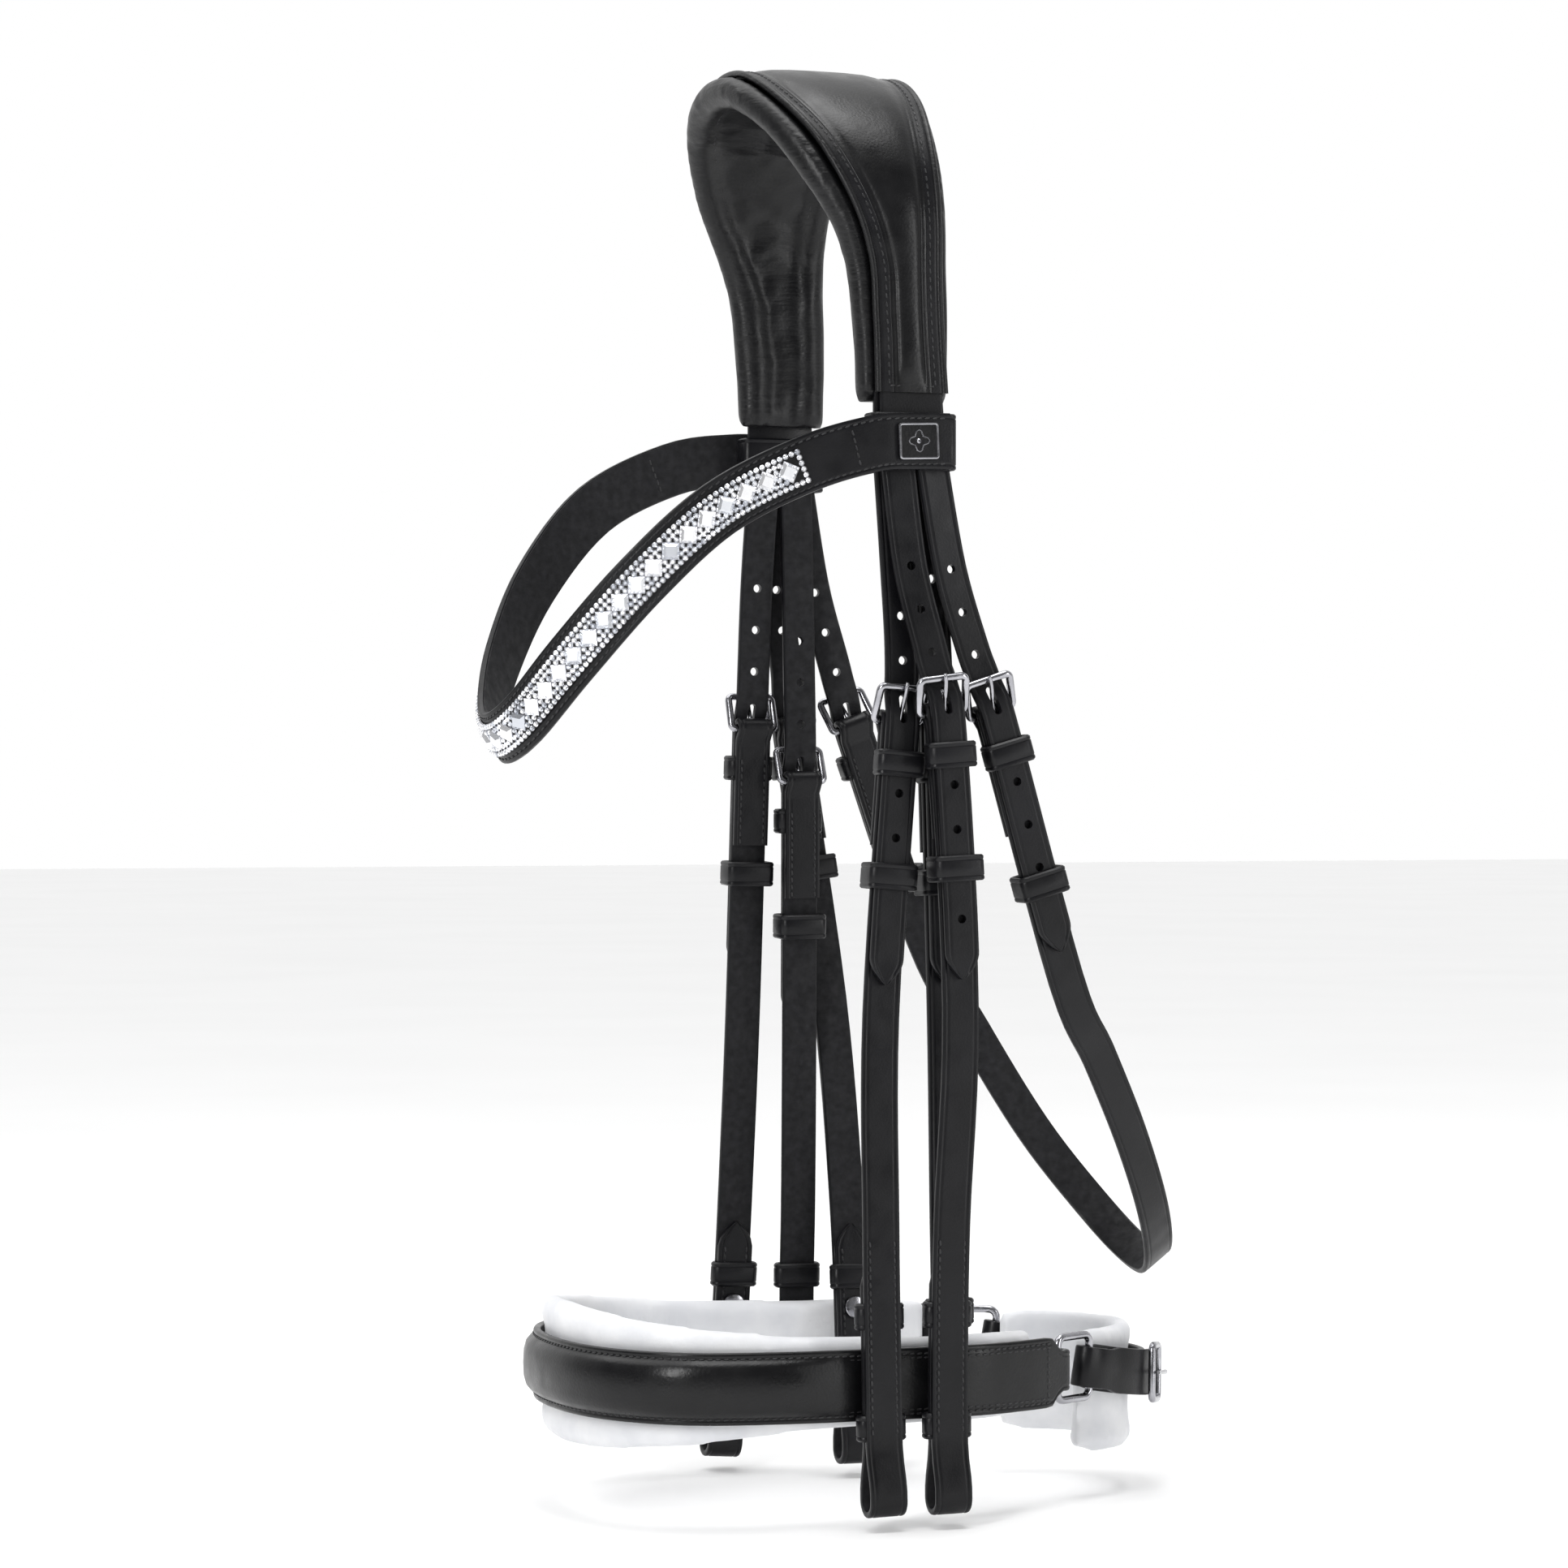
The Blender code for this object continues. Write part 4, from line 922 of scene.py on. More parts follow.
def add_throatlatch():
    """One strap between two buckles, with a billet from each side of the crown."""
    loop = throat_line(THROAT_NEAR + THROAT_TURN + THROAT_FAR[::-1])
    near = throat_line(THROAT_NEAR + THROAT_TURN[:3])
    far = throat_line(THROAT_FAR + THROAT_TURN[:-4:-1])
    ends = [("near_throat", near, near.at_height(THROAT_NEAR_BUCKLE_Z)),
            ("far_throat", far, far.at_height(THROAT_FAR_BUCKLE_Z))]
    near_bar = ends[0][2] + BAR_REACH
    far_bar = loop.length - ends[1][2] - BAR_REACH
    path = run(near_bar + TOP_RETURN, near_bar + 4.0, INNER_LIFT)
    path += arc(near_bar, LOW_BAR, FOLD_RADIUS, 180, 0)
    path += run(near_bar + 1.5, far_bar - 1.5, LEAF_LIFT)
    path += arc(far_bar, LOW_BAR, FOLD_RADIUS, 0, -180)
    path += run(far_bar - 4.0, far_bar - TOP_RETURN, INNER_LIFT)
    leaf = Leaf.along(loop, path)
    leather = add_piece("throatlatch_leather", *strap(leaf, STRAP_WIDTH, LEAF_THICK), STRAP_SIDES,
                        "throatlatch", "black_leather")
    keepers = []
    slots = []
    outer = BILLET_LIFT + BILLET_THICK / 2 + KEEPER_GAP
    for prefix, line, buckle in ends:
        add_billet(prefix, line, buckle, buckle + BAR_REACH + THROAT_TIP_LENGTH, "throatlatch")
        add_fittings(prefix, line, buckle, "throatlatch", THROAT_RUNNER_BELOW)
        keepers.append(fixed_keeper(line, buckle + KEEPER_BELOW_BUCKLE, LEAF_LIFT - LEAF_THICK / 2 + 0.6,
                                    outer))
        slots.append(slot_shape(line, buckle))
    cut(leather, slots)
    front = TOP_RETURN + math.pi * FOLD_RADIUS
    stitches = border_stitches(leaf, 1.5, TOP_RETURN - 12.0, STRAP_WIDTH)
    stitches += border_stitches(leaf, front + 6.0, front + TOP_RETURN - 4.0, STRAP_WIDTH)
    back = leaf.length - front
    stitches += border_stitches(leaf, back - TOP_RETURN + 4.0, back - 6.0, STRAP_WIDTH)
    stitches += border_stitches(leaf, leaf.length - TOP_RETURN + 12.0, leaf.length - 1.5, STRAP_WIDTH)
    add_piece("throatlatch_sewn_keepers", *joined(keepers), STRAP_LEATHER, "throatlatch",
              "black_leather")
    add_piece("throatlatch_stitches", *joined(stitches), THREAD, "throatlatch", "black_leather")
    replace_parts(leather, "throatlatch_strap")


# Crown: an inverted U, its places given by reach (0 at the poll, 1 at the straights, 2 at the end)

PAD_EDGES = [(-29, 40.5), (-25.5, 39.5), (-15, 37.5), (-1, 36.5), (3, 37), (4.5, 36.5), (5, 36)]
SLIP_EDGES = [(0, 22), (2, 24), (6, 28), (9, 31.5), (9.2, 33), (9.2, 33.6), (9.2, 33.8)]
PANEL_EDGES = [(-20, 36.5), (-17.5, 35.5), (-5, 32.5), (7, 31.5), (9.4, 32), (10.2, 33.5),
               (10.6, 35.2)]
PADDING_END = 104.0
PANEL_END = 101.0
REACH_OF_END = 1 + (PANEL_END - CROWN_INNER) / (TONGUE_END - CROWN_INNER)


def crown_at(reach, x, radius):
    """A point of the crown at a signed reach (near side negative), x and radius."""
    side = -1 if reach < 0 else 1
    far = abs(reach)
    if far <= 1:
        angle = far * math.pi / 2
        return np.array((x, side * radius * math.sin(angle), radius * math.cos(angle) - CROWN_INNER))
    return np.array((x, side * radius, -CROWN_INNER - (TONGUE_END - CROWN_INNER) * (far - 1)))


def crown_out(reach):
    """The outward direction at a reach."""
    angle = max(-1.0, min(1.0, reach)) * math.pi / 2
    return np.array((0.0, math.sin(angle), math.cos(angle)))


def edges_at(edges, reach):
    padded = [edges[1], *edges, edges[-1]]
    far = abs(reach)
    k = min(int(far * 3), len(edges) - 2)
    a, b, c, d = (np.array(pair, float) for pair in padded[k:k + 4])
    t = far * 3 - k
    return 0.5 * (2 * b + (c - a) * t + (2 * a - 5 * b + 4 * c - d) * t * t
                  + (3 * b - a - 3 * c + d) * t ** 3)


def reaches(last, count=110):
    return [-last + 2 * last * i / count for i in range(count + 1)]


def crown_layer(radius, thick, edges, last, narrower=0.0, rise=0.0):
    """A leather layer over the crown with rounded edges. rise lifts its middle."""
    rings = []
    for reach in reaches(last):
        low, high = edges_at(edges, reach)
        half = (high - low) / 2 - narrower
        middle = (high + low) / 2
        out = crown_out(reach)
        ends = smoothstep(last, last - 0.12, abs(reach))
        ring = []
        for x, y in strap_profile(2 * half, thick, 0.0, rise * ends):
            ring.append(crown_at(reach, middle + x, radius) + out * y)
        rings.append(np.array(ring))
    return skin(rings)


def crown_line(edges, inset, radius, last, front, count=140):
    """A line along the front or rear edge of a layer, inset from it."""
    points = []
    for reach in reaches(last, count):
        low, high = edges_at(edges, reach)
        points.append(crown_at(reach, low + inset if front else high - inset, radius))
    return np.array(points)


def crown_stitches(points, lift_radius, pitch):
    """Stitches along a line over the crown."""
    leaf = Leaf(points, np.tile((1.0, 0.0, 0.0), (len(points), 1)))
    row = []
    for s in steps(2.0, leaf.length - 2.0, pitch):
        point = leaf.sample(leaf.points, s)
        along = unit(leaf.sample(np.gradient(leaf.points, axis=0), s))
        out = outward_at(point)
        across = unit(np.cross(out, along))
        row.append(stitch_at(point + out * lift_radius, across, out))
    return row


def outward_at(point):
    """Away from the crown's inside, at a point of it."""
    if point[2] < -CROWN_INNER:
        return np.array((0.0, math.copysign(1.0, point[1]), 0.0))
    return unit(np.array((0.0, point[1], point[2] + CROWN_INNER)))


ROLL_MIDDLE = 5.6
ROLL_TOP = 11.4
UNDER_STRAP = 7.9
LINING_ROLL = 10.0
LINING_SUNK = 2.6


def roll_section(low, high, inner, outer, roll, waist, count=9):
    """A padded section as (across, out): a roll along each edge and a thinner waist between."""
    points = []
    middle = (inner + outer) / 2
    radius = (outer - inner) / 2
    for angle in np.radians(np.linspace(-90, -270, count)):
        points.append((low + roll + roll * math.cos(angle), middle + radius * math.sin(angle)))
    for share in np.linspace(0.12, 0.88, count):
        points.append((low + roll + (high - low - 2 * roll) * share,
                       middle + waist / 2 + (radius - waist / 2) * (2 * share - 1) ** 10))
    for angle in np.radians(np.linspace(90, -90, count)):
        points.append((high - roll + roll * math.cos(angle), middle + radius * math.sin(angle)))
    for share in np.linspace(0.88, 0.12, count):
        points.append((low + roll + (high - low - 2 * roll) * share,
                       middle - waist / 2 - (radius - waist / 2) * (2 * share - 1) ** 10))
    return points


def crown_section(low, high, panel_low, panel_high, count=9):
    """The crown padding's section: a proud roll outside each panel edge, a sunken lining between."""
    points = []
    for edge, panel, sign in ((low, panel_low, 1), (high, panel_high, -1)):
        half = abs(panel - edge) / 2 + 0.7
        middle = edge + sign * half
        arch = []
        for angle in np.radians(np.linspace(180, 8, count)):
            y = ROLL_MIDDLE + (ROLL_TOP - ROLL_MIDDLE) * math.sin(angle)
            inner = math.cos(angle) > 0
            arch.append((middle + sign * half * math.cos(angle), max(y, UNDER_STRAP) if inner else y))
        points.append(arch)
    front, rear = points
    top = front + [(panel_low + (panel_high - panel_low) * share, UNDER_STRAP)
                   for share in np.linspace(0.08, 0.92, count)] + rear[::-1]
    bottom = []
    for share in np.linspace(0.995, 0.005, 3 * count):
        x = low + (high - low) * share
        from_edge = min(x - low, high - x)
        lining = smoothstep(LINING_ROLL * 0.75, LINING_ROLL * 1.15, from_edge)
        rounded = math.sqrt(max(0.0, 1 - (1 - min(from_edge / (LINING_ROLL * 0.5), 1.0)) ** 2))
        bottom.append((x, ROLL_MIDDLE - (ROLL_MIDDLE - 0.3) * rounded + LINING_SUNK * lining))
    return top + bottom


def rippled(point, amount, scale):
    """A small in-and-out shift of a point, for the wrinkles of soft leather."""
    return amount * noise.noise(Vector(point) * scale)


def inflate(obj, most, pressure=4.0, frames=20, held=None):
    """Blows a stuffed piece up with the cloth solver, and lets no point move more than most (mm).

    held tells, from a point in millimetres, whether the filling is sewn down there.
    """
    rest = np.array([v.co for v in obj.data.vertices])
    if held is not None:
        group = obj.vertex_groups.new(name="sewn")
        group.add([i for i, co in enumerate(rest) if held(co / MM)], 1.0, "REPLACE")
    cloth = obj.modifiers.new("Filling", "CLOTH")
    settings = cloth.settings
    settings.quality = 6
    settings.mass = 0.2
    settings.use_pressure = True
    settings.uniform_pressure_force = pressure
    settings.tension_stiffness = 30
    settings.compression_stiffness = 30
    settings.bending_stiffness = 0.6
    settings.effector_weights.gravity = 0.0
    if held is not None:
        settings.vertex_group_mass = "sewn"
    cloth.point_cache.frame_start = 1
    cloth.point_cache.frame_end = frames
    scene = bpy.context.scene
    for step in range(1, frames + 1):
        scene.frame_set(step)
    made = bpy.data.meshes.new_from_object(obj.evaluated_get(bpy.context.evaluated_depsgraph_get()))
    blown = np.array([v.co for v in made.vertices])
    bpy.data.meshes.remove(made)
    scene.frame_set(1)
    obj.modifiers.remove(cloth)
    shift = blown - rest
    size = np.linalg.norm(shift, axis=1, keepdims=True)
    shift *= np.minimum(1.0, most * MM / np.maximum(size, 1e-9))
    for vert, co in zip(obj.data.vertices, rest + shift):
        vert.co = co
    obj.data.update()


def add_padding(name, rings, material, slot, body, node, held, most, voxel=2.6):
    """A stuffed leather piece: a closed mesh, remeshed, blown up and smoothed."""
    pad = add_piece(name, *skin(rings), material, body, slot)
    remesh = pad.modifiers.new("Even", "REMESH")
    remesh.mode = "VOXEL"
    remesh.voxel_size = voxel * MM
    bpy.context.view_layer.update()
    even = bpy.data.meshes.new_from_object(
        pad.evaluated_get(bpy.context.evaluated_depsgraph_get()))
    pad.modifiers.remove(remesh)
    pad.data = even
    pad.data.materials.clear()
    pad.data.materials.append(material)
    inflate(pad, most, held=held)
    pad.data.shade_smooth()
    smooth = pad.modifiers.new("Round", "SUBSURF")
    smooth.levels = 1
    smooth.render_levels = 1
    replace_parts(pad, node)
    return pad


def add_crown():
    """Padding, inner strap, raised panel with its piping and stitching."""
    last = 1 + (PADDING_END - CROWN_INNER) / (TONGUE_END - CROWN_INNER)
    rings = []
    for reach in reaches(last, 130):
        low, high = edges_at(PAD_EDGES, reach)
        out = crown_out(reach)
        ends = smoothstep(last, last - 0.05, abs(reach))
        panel_low, panel_high = edges_at(PANEL_EDGES, reach)
        ring = []
        for x, y in crown_section(low, high, panel_low, panel_high):
            height = 4.5 + (y - 4.5) * (0.6 + 0.4 * ends)
            point = crown_at(reach, x, CROWN_INNER + height)
            ring.append(point + out * rippled(point, 0.5 if y < 5.0 else 0.0, 0.16))
        rings.append(np.array(ring))

    def under_panel(point):
        radius = math.hypot(point[1], max(0.0, point[2] + CROWN_INNER))
        return radius > CROWN_INNER + 5.0

    add_padding("crown_soft_padding", rings, SOFT_LEATHER, "black_padding", "crown", "crown_padding",
                under_panel, 0.9, 2.0)
    slip = crown_layer(SLIP_RADIUS, SLIP_THICK, SLIP_EDGES, TONGUE_REACH)
    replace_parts(add_piece("sliphead_leather", *slip, STRAP_LEATHER, "crown", "black_leather"),
                "sliphead")
    base = crown_layer(PANEL_RADIUS - 0.5, PANEL_THICK - 1.0, PANEL_EDGES, TONGUE_REACH, 0.4)
    panel = crown_layer(PANEL_RADIUS + 0.7, 1.6, PANEL_EDGES, REACH_OF_END, 4.4, 1.5)
    rim = crown_layer(PANEL_RADIUS + 0.2, 2.2, PANEL_EDGES, REACH_OF_END, 0.6)
    headpiece = add_piece("crown_headpiece_leather", *joined([base, rim]), STRAP_LEATHER, "crown",
                          "black_leather")
    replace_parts(headpiece, "crown_headpiece")
    add_piece("crown_raised_panel", *panel, PANEL_LEATHER, "crown", "black_leather", 60.0)
    piping = []
    for front in (True, False):
        line = crown_line(PANEL_EDGES, -0.3, PANEL_RADIUS + 0.5, REACH_OF_END, front)
        piping.append(tube(line, 1.25, (1.0, 0.0, 0.0), sides=12))
    add_piece("crown_piping", *joined(piping), SOFT_LEATHER, "crown", "black_leather")
    stitches = []
    for front in (True, False):
        line = crown_line(PANEL_EDGES, 3.3, PANEL_RADIUS, REACH_OF_END - 0.02, front)
        stitches += crown_stitches(line, 1.3, 2.9)
        inner = crown_line(PAD_EDGES, 9.6, CROWN_INNER + 2.1, REACH_OF_END - 0.06, front)
        stitches += crown_stitches(inner, -0.2, 3.2)
    for side in (NEAR, FAR):
        reach = side * (REACH_OF_END - 0.03)
        low, high = edges_at(PANEL_EDGES, reach)
        out = crown_out(reach)
        for x in steps(low + 4.5, high - 4.5, STITCH_PITCH):
            point = crown_at(reach, x, PANEL_RADIUS + 1.3)
            stitches.append(stitch_at(point, np.array((0.0, 0.0, 1.0)), out))
    add_piece("crown_stitches", *joined(stitches), THREAD, "crown", "black_leather")


LOOP_FRONT_X = 8.2
LOOP_REAR_X = 36.0
LOOP_MIDDLE_Z = -117.5


def add_browband_loops():
    for side, name in ((NEAR, "near"), (FAR, "far")):
        place = np.eye(4)
        place[:3, 0] = (side, 0, 0)
        place[:3, 1] = (0, side, 0)
        place[:3, 3] = ((LOOP_FRONT_X + LOOP_REAR_X) / 2, 0, LOOP_MIDDLE_Z)
        shape = leather_band(place, (LOOP_REAR_X - LOOP_FRONT_X) / 2, 59.2, 66.2, BAND_HEIGHT, 1.5)
        loop = add_piece(name + "_browband_loop_leather", *shape, STRAP_LEATHER, "crown",
                         "black_leather")
        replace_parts(loop, name + "_browband_loop")


def browband_line():
    normals = []
    for x, y, _ in BROWBAND:
        front = max(0.0, -x) / 107.5
        normals.append(unit(np.array((-(front ** 2), y / 70.0, -0.5 * front ** 2))))
    return Line(BROWBAND, normals)


def stone(place, radius, height, sides, table=0.55):
    """A faceted stone standing out along local Y: a girdle, a crown of facets and a flat table."""
    rings = []
    for r, y, twist in ((radius, -0.3, 0.0), (radius, height * 0.3, 0.0),
                        (radius * table, height, math.pi / sides if sides > 4 else 0.0)):
        ring = []
        for k in range(sides):
            angle = 2 * math.pi * k / sides + twist
            ring.append((r * math.cos(angle), y, r * math.sin(angle)))
        rings.append(placed(place, ring))
    return skin(rings)


SQUARE_PITCH = 7.9
SQUARE_HALF_DIAGONAL = 3.9
ROUND_RADIUS = 0.94
EDGE_PITCH = 2.12


def add_crystals(leaf, first, last):
    """Square stones set as diamonds down the middle, small round ones between and along both edges."""
    lift = BAND_THICK / 2 + 0.95
    squares = []
    rounds = []
    sockets = []

    def place_at(s, x, height=lift):
        across, normal, along = leaf.directions(s)
        place = np.eye(4)
        place[:3, 0], place[:3, 1], place[:3, 2] = across, normal, along
        place[:3, 3] = leaf.at(s, x, height)
        return place

    centres = steps(first + 6.0, last - 6.0, SQUARE_PITCH)
    half_pitch = (centres[1] - centres[0]) / 2
    for s in centres:
        squares.append(stone(place_at(s, 0.0), SQUARE_HALF_DIAGONAL, 1.7, 4, table=0.58))
        sockets.append(stone(place_at(s, 0.0, lift - 0.25), SQUARE_HALF_DIAGONAL + 0.35, 0.55, 4,
                             table=0.96))
    between = [(0.0, 1.35), (-1.95, 3.05), (0.0, 3.15), (1.95, 3.05)]
    for s in centres[:-1]:
        for along_it, across_it in between:
            for side in (-1, 1):
                rounds.append((s + half_pitch + along_it, side * across_it))
    for s in steps(first + 0.8, last - 0.8, EDGE_PITCH):
        for side in (-1, 1):
            rounds.append((s, side * 5.05))
    for s in (first + 0.8, last - 0.8):
        for x in steps(-3.1, 3.1, EDGE_PITCH):
            rounds.append((s, x))
    small = []
    for s, x in rounds:
        small.append(stone(place_at(s, x), ROUND_RADIUS, 0.95, 8))
        sockets.append(stone(place_at(s, x, lift - 0.2), ROUND_RADIUS + 0.13, 0.42, 8, table=0.95))
    add_piece("browband_square_stones", *joined(squares), CRYSTAL, "browband", "crystal_rail", 1.0)
    add_piece("browband_round_stones", *joined(small), CRYSTAL, "browband", "crystal_rail", 1.0)
    add_piece("browband_stone_sockets", *joined(sockets), STEEL, "browband", "crystal_rail", 30.0)


LINING_SEAM = 60.0


def add_browband():
    line = browband_line()
    leaf = Leaf.along(line, run(0.0, line.length, 0.0, 2.5))
    band = add_piece("browband_leather", *strap(leaf, BAND_HEIGHT, BAND_THICK, 0.18), STRAP_LEATHER,
                     "browband", "black_leather")
    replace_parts(band, "browband")
    lining = Leaf(leaf.points - leaf.normals * (BAND_THICK / 2 + 0.15), leaf.across)
    add_piece("browband_lining", *strap(lining, BAND_HEIGHT - 1.0, 0.6, 0.0), FLESH_LEATHER,
              "browband", "black_leather")
    first = line.lengths[INLAY_FIRST * Line.STEPS]
    last = line.lengths[INLAY_LAST * Line.STEPS]
    rail_leaf = Leaf.along(line, run(first, last, BAND_THICK / 2 + 0.5, 2.5))
    rail = add_piece("browband_inlay_bed", *strap(rail_leaf, INLAY_WIDTH, 1.0, 0.0), PANEL_LEATHER,
                     "browband", "crystal_rail")
    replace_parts(rail, "browband_inlay")
    add_crystals(leaf, first, last)
    stitches = border_stitches(leaf, 3.0, leaf.length - 3.0, BAND_HEIGHT, 1.9, BAND_THICK / 2)
    stitches += cross_stitches(leaf, 34.0, BAND_HEIGHT, 1.9, BAND_THICK / 2)
    stitches += cross_stitches(leaf, leaf.length - 34.0, BAND_HEIGHT, 1.9, BAND_THICK / 2)
    for s in (LINING_SEAM, leaf.length - LINING_SEAM):
        stitches += cross_stitches(leaf, s, BAND_HEIGHT, 1.9, -BAND_THICK / 2 - 0.5)
    add_piece("browband_stitches", *joined(stitches), THREAD, "browband", "black_leather")
    for name, distance in (("near", 12.0), ("far", line.length - 12.0)):
        add_emblem(name, line.matrix(distance, BAND_THICK / 2 + GAP))


EMBLEM_HALF = (6.25, 7.25)


def add_emblem(name, place):
    """A small plate: dark enamel in a steel rim, with a plain generic rosette."""
    half_x, half_z = EMBLEM_HALF
    rim_loop = [(x, 0.9, z) for x, z, _, _ in rounded_loop(half_x - 0.5, 0.5 - half_z, half_z - 0.5, 0.8)]
    rim = tube(placed(place, rim_loop), 0.5, place[:3, 1], cyclic=True, sides=8)
    ring = []
    for k in range(24):
        angle = 2 * math.pi * k / 24
        reach = 2.9 * (1 + 0.28 * math.cos(4 * angle))
        ring.append((reach * math.cos(angle), 1.15, reach * math.sin(angle)))
    motif = tube(placed(place, ring), 0.28, place[:3, 1], cyclic=True, sides=6)
    stud = stone(place_shifted(place, (0.0, 0.9, 0.0)), 0.9, 0.6, 8)
    add_piece(name + "_emblem_rim", *joined([rim, motif, stud]), STEEL, "browband", "emblem_plate")
    plate_loop = [(x, z) for x, z, _, _ in rounded_loop(half_x - 0.3, 0.3 - half_z, half_z - 0.3, 0.8)]
    rings = [placed(place, [(x, y, z) for x, z in plate_loop]) for y in (0.05, 1.05)]
    plate = add_piece(name + "_emblem_enamel", *skin(rings), PANEL_LEATHER, "browband", "emblem_plate")
    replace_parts(plate, name + "_emblem_plate")


def place_shifted(place, local):
    moved = place.copy()
    moved[:3, 3] = placed(place, [local])[0]
    return moved


# Noseband, padding behind the jaw and crank strap

def both_sides(plan, height):
    """A plan of (x, outward), from the front or the rear middle, as a line from near to far."""
    half = plan if plan[0][1] == 0.0 else plan[::-1]
    near = [(x, NEAR * out, height(x)) for x, out in half[:0:-1]]
    return near + [(x, FAR * out, height(x)) for x, out in half]


def level_line(points):
    """A line whose width stands upright; its outward side faces away from the head."""
    points = np.array(points, float)
    normals = []
    for i in range(len(points)):
        along = points[min(i + 1, len(points) - 1)] - points[max(i - 1, 0)]
        outward = np.cross(along, (0, 0, 1))
        if outward.dot(points[i] - np.array((10, 0, points[i][2]))) < 0:
            outward = -outward
        normals.append(unit(outward))
    return Line(points, normals)


def falling(plan, front_z, rear_z):
    def height(x):
        share = (x - plan[0][0]) / (plan[-1][0] - plan[0][0])
        return front_z + (rear_z - front_z) * share
    return height


def add_noseband():
    droop = falling(NOSE_PLAN, NOSE_FRONT_Z, NOSE_REAR_Z)
    line = level_line(both_sides(NOSE_PLAN, droop))
    fold = RING_RADIUS + GAP + NOSE_THICK / 2
    inner = -(NOSE_THICK + GAP)
    end = line.length
    path = run(14.0, 4.0, inner) + arc(0.0, -fold, fold, 180, 0) + run(1.5, end - 1.5, 0.0)
    path += arc(end, -fold, fold, 0, -180) + run(end - 4.0, end - 14.0, inner)
    leaf = Leaf.along(line, path)
    turn_length = 14.0 + math.pi * fold
    full = leaf.length - 2 * turn_length

    def from_ring(s):
        return min(s, leaf.length - s) - turn_length

    def width(s):
        return RING_FOLD_WIDTH + (NOSE_HEIGHT - RING_FOLD_WIDTH) * smoothstep(3.0, 9.5, from_ring(s))

    def bulge(s):
        return 3.6 * smoothstep(78.0, 118.0, from_ring(s))

    leather = add_piece("noseband_leather", *strap(leaf, width, NOSE_THICK, 0.2, bulge), PANEL_LEATHER,
                        "noseband", "black_leather", 60.0)
    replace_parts(leather, "noseband_strap")
    stitches = []
    first = turn_length + 11.0
    for inset in (2.0, 3.3):
        stitches += border_stitches(leaf, first, leaf.length - first, NOSE_HEIGHT, inset, NOSE_THICK / 2)
    for s in (first, first + full - 22.0):
        stitches += cross_stitches(leaf, s, NOSE_HEIGHT, 2.0, NOSE_THICK / 2)
    add_piece("noseband_stitches", *joined(stitches), THREAD, "noseband", "black_leather")
    for name, distance in (("near", -RING_HALF_WIDTH), ("far", end + RING_HALF_WIDTH)):
        place = line.matrix(distance, -fold)
        loop = [(x, 0.0, z) for x, z, _, _ in
                rounded_loop(RING_HALF_HEIGHT, -RING_HALF_WIDTH, RING_HALF_WIDTH, 3.0)]
        ring = add_piece(name + "_crank_ring_wire",
                         *tube(placed(place, loop), RING_RADIUS, place[:3, 1], cyclic=True, sides=14),
                         STEEL, "noseband", "polished_steel")
        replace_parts(ring, name + "_crank_ring")


def add_noseband_padding():
    """White padding behind the strap: a roll above it and one below, thinner between."""
    droop = falling(NOSE_PLAN, NOSE_FRONT_Z, NOSE_REAR_Z)
    line = level_line(both_sides(PAD_PLAN, droop))
    heights = PAD_HEIGHTS[:0:-1] + PAD_HEIGHTS
    rings = []
    for d in steps(0.0, line.length, 2.8):
        point, across, normal = line.frame(d)
        height = np.interp(d, np.linspace(0.0, line.length, len(heights)), heights)
        ends = smoothstep(0.0, 7.0, min(d, line.length - d))
        roll = min(6.0, height / 2 - 10.0) * (0.6 + 0.4 * ends)
        half = height / 2
        ring = []
        for x, y in roll_section(-half, half, -4.4, 5.0, roll, 6.4):
            depth = y * (0.5 + 0.5 * ends)
            spot = point + across * x
            ring.append(spot + normal * (depth + rippled(spot, 0.3, 0.09)))
        rings.append(np.array(ring))

    def behind_strap(point):
        return abs(point[2] - droop(point[0])) < NOSE_HEIGHT / 2

    add_padding("noseband_soft_padding", rings, WHITE_LEATHER, "white_padding", "noseband",
                "noseband_padding", behind_strap, 0.8)


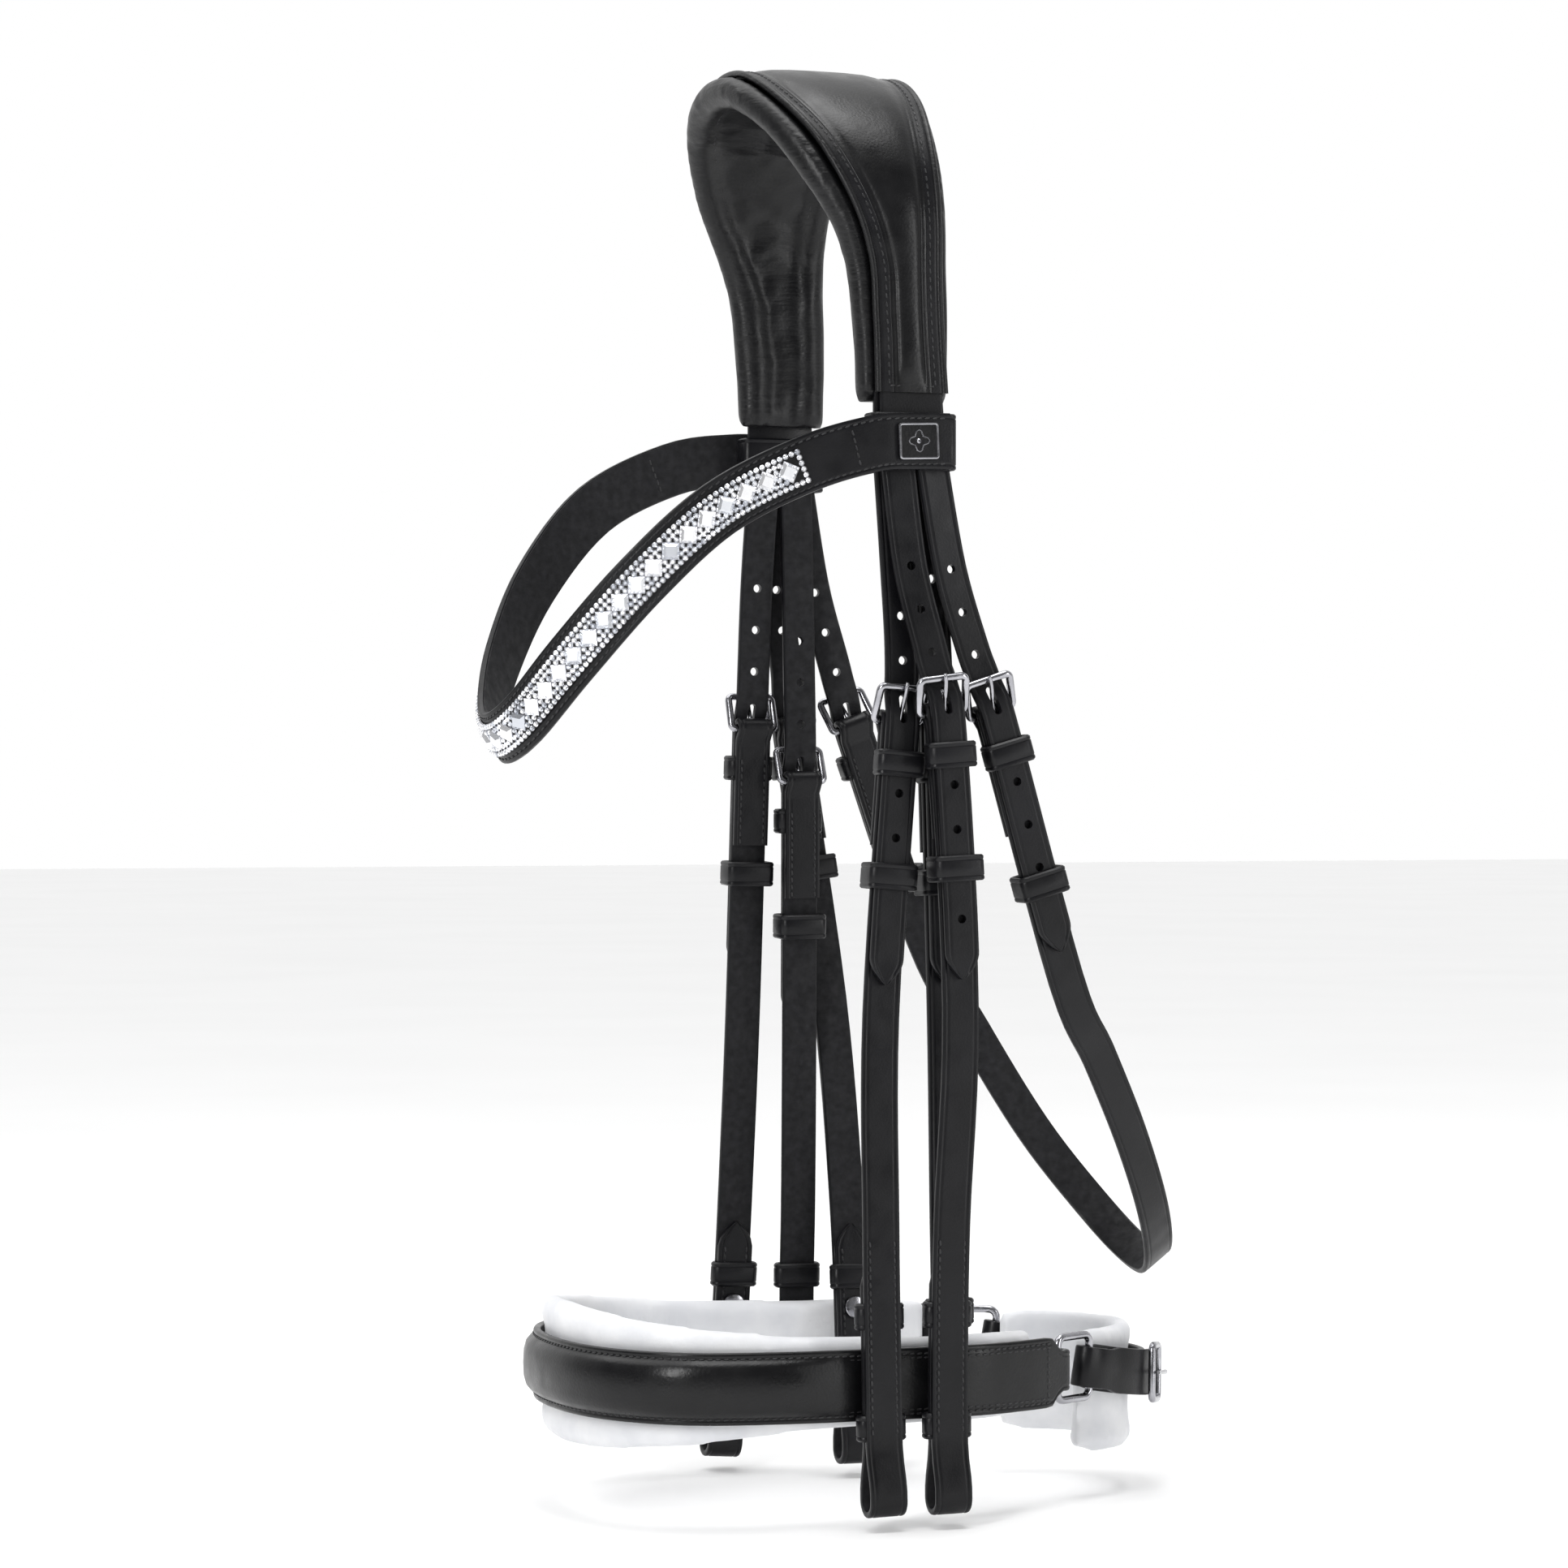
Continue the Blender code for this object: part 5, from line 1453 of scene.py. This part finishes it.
def add_chin():
    """The pad under the jaw, the crank strap in front of it and its buckle."""
    line = level_line(both_sides(CHIN_PLAN, lambda x: CHIN_Z))
    rings = []
    for d in steps(0.0, line.length, 2.4):
        point, across, normal = line.frame(d)
        ends = smoothstep(0.0, 9.0, min(d, line.length - d))
        half = CHIN_HEIGHT / 2 - 1.6 * (1 - ends)
        ring = []
        for x, y in roll_section(-half, half, -3.6, 3.3, 5.0, 4.8):
            spot = point + across * x
            ring.append(spot + normal * (y + rippled(spot, 0.45, 0.1)))
        rings.append(np.array(ring))

    def behind_crank(point):
        return abs(point[2] - CRANK_REAR_Z) < CRANK_WIDTH / 2

    add_padding("chin_soft_pad", rings, WHITE_LEATHER, "white_padding", "noseband", "chin_pad",
                behind_crank, 0.8)
    height = falling(CRANK_PLAN, CRANK_FRONT_Z, CRANK_REAR_Z)
    line = level_line(both_sides(CRANK_PLAN, height))
    fold = RING_RADIUS + 2 * GAP + LEAF_THICK / 2
    end = line.length
    path = run(36.0, 14.0, LEAF_PITCH) + eased_run(14.0, 1.5, LEAF_PITCH, 2 * fold)
    path += arc(0.0, fold, fold, 0, 180) + run(1.5, end - 1.5, 0.0)
    path += arc(end, fold, fold, 180, 360) + eased_run(end - 1.5, end - 14.0, 2 * fold, LEAF_PITCH)
    path += run(end - 14.0, end - 22.0, LEAF_PITCH)[1:]
    leaf = Leaf.along(line, path)
    middle = leaf.length / 2

    def width(s):
        near_ring = min(abs(s - 36.0 - fold), abs(leaf.length - s - 22.0 - fold))
        return RING_FOLD_WIDTH + (CRANK_WIDTH - RING_FOLD_WIDTH) * smoothstep(9.0, 15.0, near_ring)

    leather = add_piece("crank_leather", *strap(leaf, width, LEAF_THICK), STRAP_LEATHER, "noseband",
                        "black_leather")
    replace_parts(leather, "crank_strap")
    stitches = border_stitches(leaf, middle - 12.0, middle + 12.0, CRANK_WIDTH)
    add_piece("crank_stitches", *joined(stitches), THREAD, "noseband", "black_leather")
    frame_lift = LEAF_PITCH + LEAF_THICK / 2 + GAP + WIRE_RADIUS
    place = line.matrix(34.0, frame_lift)
    loop = [(x, 0.0, z) for x, z, _, _ in rounded_loop(CRANK_WIDTH / 2 + 1.4, -6.4, 6.4, 2.2)]
    shape = tube(placed(place, loop), WIRE_RADIUS, place[:3, 1], cyclic=True, sides=14)
    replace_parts(add_piece("crank_buckle_wire", *shape, STEEL, "noseband", "polished_steel"),
                "crank_buckle")
    out = WIRE_RADIUS + GAP + PRONG_RADIUS
    points = [(0.0, out, z) for z in np.linspace(-7.6, 7.8, 12)]
    radii = np.linspace(PRONG_RADIUS, PRONG_RADIUS * 0.7, len(points))
    shape = tube(placed(place, points), radii, place[:3, 0], sides=12)
    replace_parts(add_piece("crank_prong_wire", *shape, STEEL, "crank_prong", "polished_steel"),
                "crank_prong")


def eased_run(first, last, lift_first, lift_last):
    pairs = []
    for share in np.linspace(0.0, 1.0, 9)[1:-1]:
        lift = lift_first + (lift_last - lift_first) * smoothstep(0.0, 1.0, share)
        pairs.append((first + (last - first) * share, lift))
    return pairs


LOOK = (0.3502, 0.9367, 0.0)
CAMERA_PLACE = (-0.567, -1.517, -0.2326)
LENS_MM = 106.96
SENSOR_MM = 36.0
FARTHEST_SEEN = 20.0


def add_camera():
    """A long lens at the near front quarter, level with the middle of the bridle."""
    data = bpy.data.cameras.new("photo_camera")
    data.lens = LENS_MM
    data.sensor_width = SENSOR_MM
    data.clip_end = FARTHEST_SEEN
    camera = bpy.data.objects.new("photo_camera", data)
    bpy.context.scene.collection.objects.link(camera)
    camera.location = CAMERA_PLACE
    camera.rotation_euler = Vector(LOOK).to_track_quat("-Z", "Y").to_euler()
    bpy.context.scene.camera = camera


def add_light(name, place, aim, size, power):
    data = bpy.data.lights.new(name, "AREA")
    data.shape = "RECTANGLE"
    data.size, data.size_y = size
    data.energy = power
    light = bpy.data.objects.new(name, data)
    bpy.context.scene.collection.objects.link(light)
    light.location = place
    light.rotation_euler = (Vector(aim) - Vector(place)).to_track_quat("-Z", "Y").to_euler()


def add_surround():
    """A white backdrop behind the bridle that fades to a dimmer room on the near side."""
    world = bpy.data.worlds.new("studio")
    world.use_nodes = True
    tree = world.node_tree
    place = tree.nodes.new("ShaderNodeTexCoord")
    facing = tree.nodes.new("ShaderNodeVectorMath")
    facing.operation = "DOT_PRODUCT"
    facing.inputs[1].default_value = LOOK
    fade = tree.nodes.new("ShaderNodeMapRange")
    fade.inputs["From Min"].default_value = -0.1
    fade.inputs["From Max"].default_value = 0.6
    fade.inputs["To Min"].default_value = 0.22
    fade.inputs["To Max"].default_value = 1.0
    tree.links.new(place.outputs["Generated"], facing.inputs[0])
    tree.links.new(facing.outputs["Value"], fade.inputs["Value"])
    tree.links.new(fade.outputs["Result"], tree.nodes["Background"].inputs["Strength"])
    tree.nodes["Background"].inputs["Color"].default_value = (1.0, 1.0, 1.0, 1.0)
    bpy.context.scene.world = world
    sun = bpy.data.lights.new("ceiling", "SUN")
    sun.energy = 1.5
    sun.angle = math.radians(60)
    ceiling = bpy.data.objects.new("ceiling", sun)
    ceiling.rotation_euler = (math.radians(-14), math.radians(-12), 0.0)
    bpy.context.scene.collection.objects.link(ceiling)
    bpy.context.scene.view_settings.view_transform = "Standard"


def add_studio():
    """A pale floor under the bridle, an even white surround and three soft boxes."""
    bpy.ops.mesh.primitive_plane_add(size=24.0, location=(0.0, 0.0, CAD_BOX[0][2] - 0.004))
    floor = bpy.context.object
    floor.name = "studio_floor"
    floor.data.materials.append(FLOOR)
    add_surround()
    middle = (0.0, 0.0, -0.24)
    add_light("key", (-1.3, -1.1, 0.55), middle, (0.4, 1.1), 17.0)
    add_light("side", (1.1, -1.3, 0.1), middle, (0.35, 1.2), 7.0)
    add_light("top", (0.1, -0.2, 1.3), middle, (0.9, 0.7), 10.0)


add_crown()
add_browband_loops()
add_browband()
for prefix, spec in LINES.items():
    add_hanging_strap(prefix, spec)
add_throatlatch()
add_noseband()
add_noseband_padding()
add_chin()
add_studio()
add_camera()
